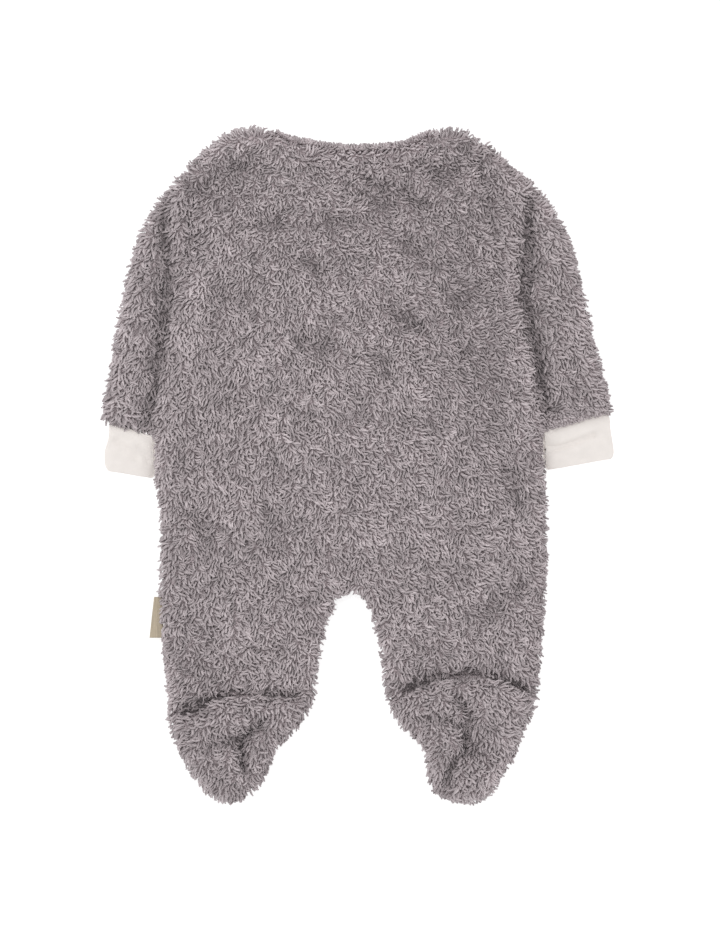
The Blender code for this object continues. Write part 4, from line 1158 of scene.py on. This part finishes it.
class ONESIE_OT_cloth_and_pile(bpy.types.Operator):
    """Make the knitted cloth of each soft piece and the pile that grows from it"""

    bl_idname = "onesie.cloth_and_pile"
    bl_label = "Cloth and pile"

    def execute(self, context):
        ground, yarn, tree = ground_material(), pile_material(), pile_tree()
        skins = {part.node: merged_copy(part.node, part.node + "_skin", part.levels) for part in PARTS}
        walls = tree_of(skins.values())
        upper, lower = Outline(skins, walls, 1.0), Outline(skins, walls, -1.0)
        for part in PARTS:
            outline = lower if part.node.startswith("front") else upper
            mesh = cloth_mesh(part, skins[part.node], walls, outline)
            cloth = put(part.node + "_cloth", mesh, ground)
            mesh.shade_smooth()
            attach(cloth, "root")
            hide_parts(part.node)
            low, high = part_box(part.node)
            cuts = np.linspace(low.y - 1 * MM, high.y + 1 * MM, part.strips + 1)
            spacing = BAND_SPACING if part.node == "neck_band" else 1.0
            for k in range(part.strips):
                name = part.node + "_pile" + (f"_{k + 1}" if part.strips > 1 else "")
                locks = grow(name, mesh, float(cuts[k]), float(cuts[k + 1]), yarn, tree, spacing)
                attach(locks, "root")
            lay(part.cut)
        for skin in skins.values():
            bpy.data.meshes.remove(skin)
        return {"FINISHED"}


# Soft creases of the cuffs and pulls at their edges: two ends in millimetres, depth and half width, and how
# far the cloth there is drawn outwards
Crease = namedtuple("Crease", "x0 y0 x1 y1 depth width pull", defaults=(0.0,))
CUFFS = {
    "cuff_left": (
        Cut(68, 31, 20, ()),
        (
            Crease(-188, 31, -150, 25, 1.6, 3.0, 3.2),
            Crease(-152, 26, -151, -13, 2.6, 6.5, 3.4),
            Crease(-186, 8, -186, -6, 0, 8.0, 3.4),
            Crease(-183, -6, -152, -11, 0, 3.0, 0.8),
            Crease(-178, 17, -164, 5, 1.8, 2.6),
            Crease(-162, 12, -155, 2, 1.1, 2.2),
            Crease(-176, 22, -166, 20, 0.7, 2.0),
        ),
    ),
    "cuff_right": (
        Cut(98, 31, 28, ()),
        (
            Crease(138, 22, 190, 36, 1.6, 3.0, 3.2),
            Crease(140, 26, 141, -8, 2.6, 6.5, 3.4),
            Crease(190, 42, 190, 35, 0, 5.0, 2.4),
            Crease(191, 40, 191, 2, 0, 8.0, 1.7),
            Crease(142, -4, 188, 4, 0, 3.0, 0.8),
            Crease(141, 10.5, 158, 14.5, 3.2, 1.8),
            Crease(158, 14.5, 175, 21.5, 3.0, 1.8),
            Crease(150, 2, 166, 5, 0.6, 3.0),
        ),
    ),
}
CUFF_LEAST = 2.5 * MM  # height left of a cuff where it is pressed
CUFF_TURN = 8  # degrees that the sleeves' ends are turned outwards by
CUFF_LEVELS = 2  # of subdivision
JERSEY_CLOUD = 7 * MM  # width of the faint clouds in the jersey's tint
JERSEY_RELIEF = 0.1 * MM


def jersey_material(name, across):
    """Fine knitted jersey: columns of stitches that run down to the cuff's end."""
    jersey = settings().jersey
    material, graph, shader = new_material(name)
    place = object_place(graph)
    wales = place.dot((across[0], across[1], 0.0)) * (math.pi / jersey.wale)
    courses = place.dot((-across[1], across[0], 0.0)) * (2 * math.pi / jersey.wale)
    stitch = abs(wales.sin()) * 0.8 + (courses + wales.cos() * 1.2).sin() * 0.2
    cloudy = graph.noise(place, 1 / JERSEY_CLOUD, 3.0)
    tint = graph.mix(graph.ease(cloudy, 0.3, 0.75), toned(jersey.colour, 0.955), jersey.colour)
    graph.join(tint, shader.inputs["Base Color"])
    set_sockets(shader, {"Roughness": 0.85, "Specular IOR Level": 0.3})
    bump(graph, shader, stitch + cloudy * 1.5, JERSEY_RELIEF, 0.6)
    return material


def press_creases(mesh, creases):
    """Soft troughs across the upper side of a piece, and pulls at its edges."""
    places, ways = coordinates(mesh)
    for crease in creases:
        start = np.array([crease.x0, crease.y0]) * MM
        end = np.array([crease.x1, crease.y1]) * MM
        near = bell(distance_to_line(places, start, end), crease.width * MM)
        pressed = places[:, 2] - crease.depth * MM * near * ease(ways[:, 2], 0.2, 0.9)
        places[:, 2] = np.where(places[:, 2] > CUFF_LEAST, np.maximum(pressed, CUFF_LEAST), places[:, 2])
        run = end - start
        outwards = np.array([run[1], -run[0]]) / np.linalg.norm(run)
        outwards *= np.sign((start - places[:, :2].mean(0)) @ outwards)
        places[:, :2] += outwards * (crease.pull * MM * near)[:, None]
    mesh.vertices.foreach_set("co", places.ravel())
    mesh.update()


class ONESIE_OT_cuffs(bpy.types.Operator):
    """Make the doubled jersey cuffs"""

    bl_idname = "onesie.cuffs"
    bl_label = "Cuffs"

    def execute(self, context):
        for node, (cut, creases) in CUFFS.items():
            name = node + "_jersey"
            mesh = merged_copy(node, name, CUFF_LEVELS)
            press_creases(mesh, creases)
            mesh.shade_smooth()
            turn = math.radians(-CUFF_TURN if node.endswith("left") else CUFF_TURN)
            cuff = put(name, mesh, jersey_material(name, (math.cos(turn), math.sin(turn))))
            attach(cuff, "root")
            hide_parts(node)
            lay(cut)
        return {"FINISHED"}


TAPE_LAYER = 0.26 * MM  # thickness of the label's tape, which is folded double
TAPE_SPARE = 0.02 * MM  # between the tape and its node's upper and lower sides
TAPE_LEAN = 3.4 * MM  # how much further out the label's lower corner is than its upper one
TAPE_TUCK = 1.5 * MM  # how far the tape's ends reach into the seam
TAPE_END = 0.25 * MM  # how far inside its node the tape begins and ends
TAPE_WAVE = 0.12 * MM
TAPE_ROWS = 22
TAPE_STEPS = 6  # points across each layer
TAPE_BENDS = 9  # points round the fold
TAPE_THREAD = 0.55 * MM
TAPE_WEFT = 0.5 * MM
TAPE_RELIEF = 0.1 * MM


def tape_material(colour):
    """Woven tape with fine threads along it."""
    material, graph, shader = new_material("label_tape")
    place = object_place(graph)
    threads = graph.noise(place.stretched((1.0, 0.04, 1.0)), 1 / TAPE_THREAD, 2.0, 0.6)
    weft = (place.axis(1) * (2 * math.pi / TAPE_WEFT)).sin()
    tint = graph.mix(graph.ease(threads, 0.3, 0.7), toned(colour, 0.84), toned(colour, 1.08))
    graph.join(tint, shader.inputs["Base Color"])
    set_sockets(shader, {"Roughness": 0.6})
    bump(graph, shader, threads + weft * 0.15, TAPE_RELIEF, 0.7)
    return material


def tape_section(inner, outer, half):
    """The tape across its length, as X and Z: out in its upper layer, round the fold and back below."""
    layer = [inner + (outer + half - inner) * k / TAPE_STEPS for k in range(TAPE_STEPS)]
    angles = np.linspace(0, math.pi, TAPE_BENDS)
    fold = [(outer + half - half * math.sin(a), half * math.cos(a)) for a in angles]
    return [(x, half) for x in layer] + fold + [(x, -half) for x in reversed(layer)]


class ONESIE_OT_label(bpy.types.Operator):
    """Make the bare folded tape in the left side seam"""

    bl_idname = "onesie.label"
    bl_label = "Label"

    def execute(self, context):
        low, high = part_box("label")
        middle = (low.z + high.z) / 2
        rise = (high.z - low.z) / 2 - TAPE_LAYER / 2 - TAPE_SPARE
        inner = high.x + TAPE_TUCK
        verts, faces = [], []
        for r in range(TAPE_ROWS + 1):
            t = r / TAPE_ROWS
            y = high.y + (low.y - high.y) * t
            if r == 0:
                y -= TAPE_END
            if r == TAPE_ROWS:
                y += TAPE_END
            outer = low.x + TAPE_LEAN * (1 - t)
            wave = TAPE_WAVE * math.sin(5.0 * t + 0.4)
            section = tape_section(inner, outer, rise * (0.72 + 0.28 * math.sin(2.3 * t + 0.5)))
            verts += [(x, y, middle + z + wave * (inner - x) / (inner - outer)) for x, z in section]
        width = len(section)
        for r in range(TAPE_ROWS):
            for k in range(width - 1):
                a = r * width + k
                faces.append((a, a + 1, a + 1 + width, a + width))
        mesh = bpy.data.meshes.new("label_tape")
        mesh.from_pydata(verts, [], faces)
        carrier = put("label_tape", mesh)
        wall = carrier.modifiers.new("Tape", "SOLIDIFY")
        wall.thickness = TAPE_LAYER
        wall.offset = 0.0
        mesh = plain_mesh(carrier, "label_tape")
        mesh.shade_smooth()
        tape = put("label_tape", mesh, tape_material(settings().tape.colour))
        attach(tape, "root")
        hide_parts("label")
        lay(Cut(31, 18, 5.5, ()))
        return {"FINISHED"}


# Half of a press stud's cap, from its middle out and round to its back: radius and height in millimetres
STUD_LINE = (
    (0.0, 0.16), (1.6, 0.15), (3.1, 0.08), (3.6, 0.1), (3.85, 0.2), (4.1, 0.22), (4.35, 0.08),
    (4.62, 0.0), (4.86, 0.1), (5.0, 0.32), (4.98, 0.52), (4.8, 0.66), (4.4, 0.7), (0.0, 0.7),
)
STUD_SIDES = 40
WEAR = 1.4 * MM  # width of the worn spots on the metal
TURNED = 0.2 * MM  # width of its turned lines
METAL_RELIEF = 0.02 * MM


def metal_material():
    """Plated metal with fine turned lines and a little wear."""
    material, graph, shader = new_material("stud_metal")
    place = object_place(graph)
    wear = graph.noise(place, 1 / WEAR, 4.0, 0.6)
    graph.join(graph.mix(wear, (0.52, 0.51, 0.49), (0.66, 0.65, 0.63)), shader.inputs["Base Color"])
    graph.join(wear * 0.22 + 0.2, shader.inputs["Roughness"])
    set_sockets(shader, {"Metallic": 1.0})
    bump(graph, shader, graph.noise(place, 1 / TURNED, 2.0), METAL_RELIEF, 0.4)
    return material


def cap_mesh(node):
    """The turned cap of one stud, whose front faces down."""
    centre, low = middle_of(node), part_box(node)[0].z
    verts, faces = [], []
    rings = STUD_LINE[1:-1]
    for radius, height in rings:
        for k in range(STUD_SIDES):
            a = 2 * math.pi * k / STUD_SIDES
            x, y = radius * MM * math.cos(a), radius * MM * math.sin(a)
            verts.append((centre.x + x, centre.y + y, low + height * MM))
    for _, height in (STUD_LINE[0], STUD_LINE[-1]):
        verts.append((centre.x, centre.y, low + height * MM))
    first, last = len(verts) - 2, len(verts) - 1
    top = (len(rings) - 1) * STUD_SIDES
    for k in range(STUD_SIDES):
        after = (k + 1) % STUD_SIDES
        faces += [(first, after, k), (last, top + k, top + after)]
        for r in range(len(rings) - 1):
            a, b = r * STUD_SIDES + k, r * STUD_SIDES + after
            faces.append((a, b, b + STUD_SIDES, a + STUD_SIDES))
    mesh = bpy.data.meshes.new(node + "_cap")
    mesh.from_pydata(verts, [], faces)
    mesh.shade_smooth()
    return mesh


class ONESIE_OT_studs(bpy.types.Operator):
    """Make the turned caps of the press studs"""

    bl_idname = "onesie.studs"
    bl_label = "Press studs"

    def execute(self, context):
        metal = metal_material()
        for name in STUDS:
            cap = put(name + "_cap", cap_mesh(name), metal)
            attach(cap, "root")
            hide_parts(name)
        return {"FINISHED"}


WHITE = (1.0, 1.0, 1.0, 1.0)
FLOOR_HALF = 4.0
LAMP_SIZE = 1.4
LAMP_PLACE = (-0.7, 1.0, 2.1)
SCALE = 0.74 * MM  # size of one pixel at the garment
PICTURE_HEIGHT = 926  # in pixels
SENSOR = 36.0
MIDDLE = Vector((2.05, 0.78, 10.0)) * MM  # what the camera looks at
CAMERA_HEIGHT = 2.6


def floor_plate(stage):
    """A plain pale floor that gives off a little light."""
    material, _, shader = new_material("floor")
    set_sockets(shader, {"Base Color": opaque(stage.floor), "Roughness": 0.9})
    set_sockets(shader, {"Emission Color": WHITE, "Emission Strength": stage.glow})
    mesh = bpy.data.meshes.new("floor")
    corners = [(x * FLOOR_HALF, y * FLOOR_HALF, 0) for x, y in ((-1, -1), (1, -1), (1, 1), (-1, 1))]
    mesh.from_pydata(corners, [], [(0, 1, 2, 3)])
    put("floor", mesh, material)


def lamps(scene, stage):
    """Even light from all round, and a large soft lamp overhead that points at the garment."""
    world = bpy.data.worlds.new("studio")
    world.use_nodes = True
    set_sockets(world.node_tree.nodes["Background"], {"Color": WHITE, "Strength": stage.sky})
    scene.world = world
    light = bpy.data.lights.new("softbox", "AREA")
    light.shape = "SQUARE"
    light.size = LAMP_SIZE
    light.energy = stage.key
    lamp = bpy.data.objects.new("softbox", light)
    lamp.location = LAMP_PLACE
    lamp.rotation_mode = "QUATERNION"
    lamp.rotation_quaternion = (-lamp.location).to_track_quat("-Z", "Y")
    scene.collection.objects.link(lamp)


def camera_overhead(scene):
    """A camera that looks straight down."""
    lens = bpy.data.cameras.new("camera")
    lens.sensor_width = SENSOR
    lens.lens = SENSOR * CAMERA_HEIGHT / (PICTURE_HEIGHT * SCALE)
    lens.clip_start = 0.1
    lens.clip_end = 20.0
    camera = bpy.data.objects.new("camera", lens)
    camera.location = MIDDLE + Vector((0, 0, CAMERA_HEIGHT))
    scene.collection.objects.link(camera)
    scene.camera = camera


class ONESIE_OT_stage(bpy.types.Operator):
    """Make the floor, the soft lights and the camera overhead"""

    bl_idname = "onesie.stage"
    bl_label = "Stage"

    def execute(self, context):
        stage = settings().stage
        floor_plate(stage)
        lamps(context.scene, stage)
        context.scene.view_settings.view_transform = "Standard"
        camera_overhead(context.scene)
        return {"FINISHED"}


class ONESIE_PT_panel(bpy.types.Panel):
    """The steps that make the garment, in order"""

    bl_idname = "ONESIE_PT_panel"
    bl_label = "Teddy onesie"
    bl_space_type = "VIEW_3D"
    bl_region_type = "UI"
    bl_category = "Onesie"

    def draw(self, context):
        for operator in OPERATORS:
            self.layout.operator(operator.bl_idname)


OPERATORS = (ONESIE_OT_stage, ONESIE_OT_cloth_and_pile, ONESIE_OT_cuffs, ONESIE_OT_label, ONESIE_OT_studs)
SETTINGS = (PileSettings, JerseySettings, TapeSettings, StageSettings, OnesieSettings)
CLASSES = (*SETTINGS, *OPERATORS, ONESIE_PT_panel)


def register():
    for cls in CLASSES:
        bpy.utils.register_class(cls)
    bpy.types.Scene.onesie = PointerProperty(type=OnesieSettings)


def unregister():
    del bpy.types.Scene.onesie
    for cls in reversed(CLASSES):
        bpy.utils.unregister_class(cls)


def main():
    register()
    bpy.ops.onesie.stage()
    bpy.ops.onesie.cloth_and_pile()
    bpy.ops.onesie.cuffs()
    bpy.ops.onesie.label()
    bpy.ops.onesie.studs()


if __name__ == "__main__":
    main()
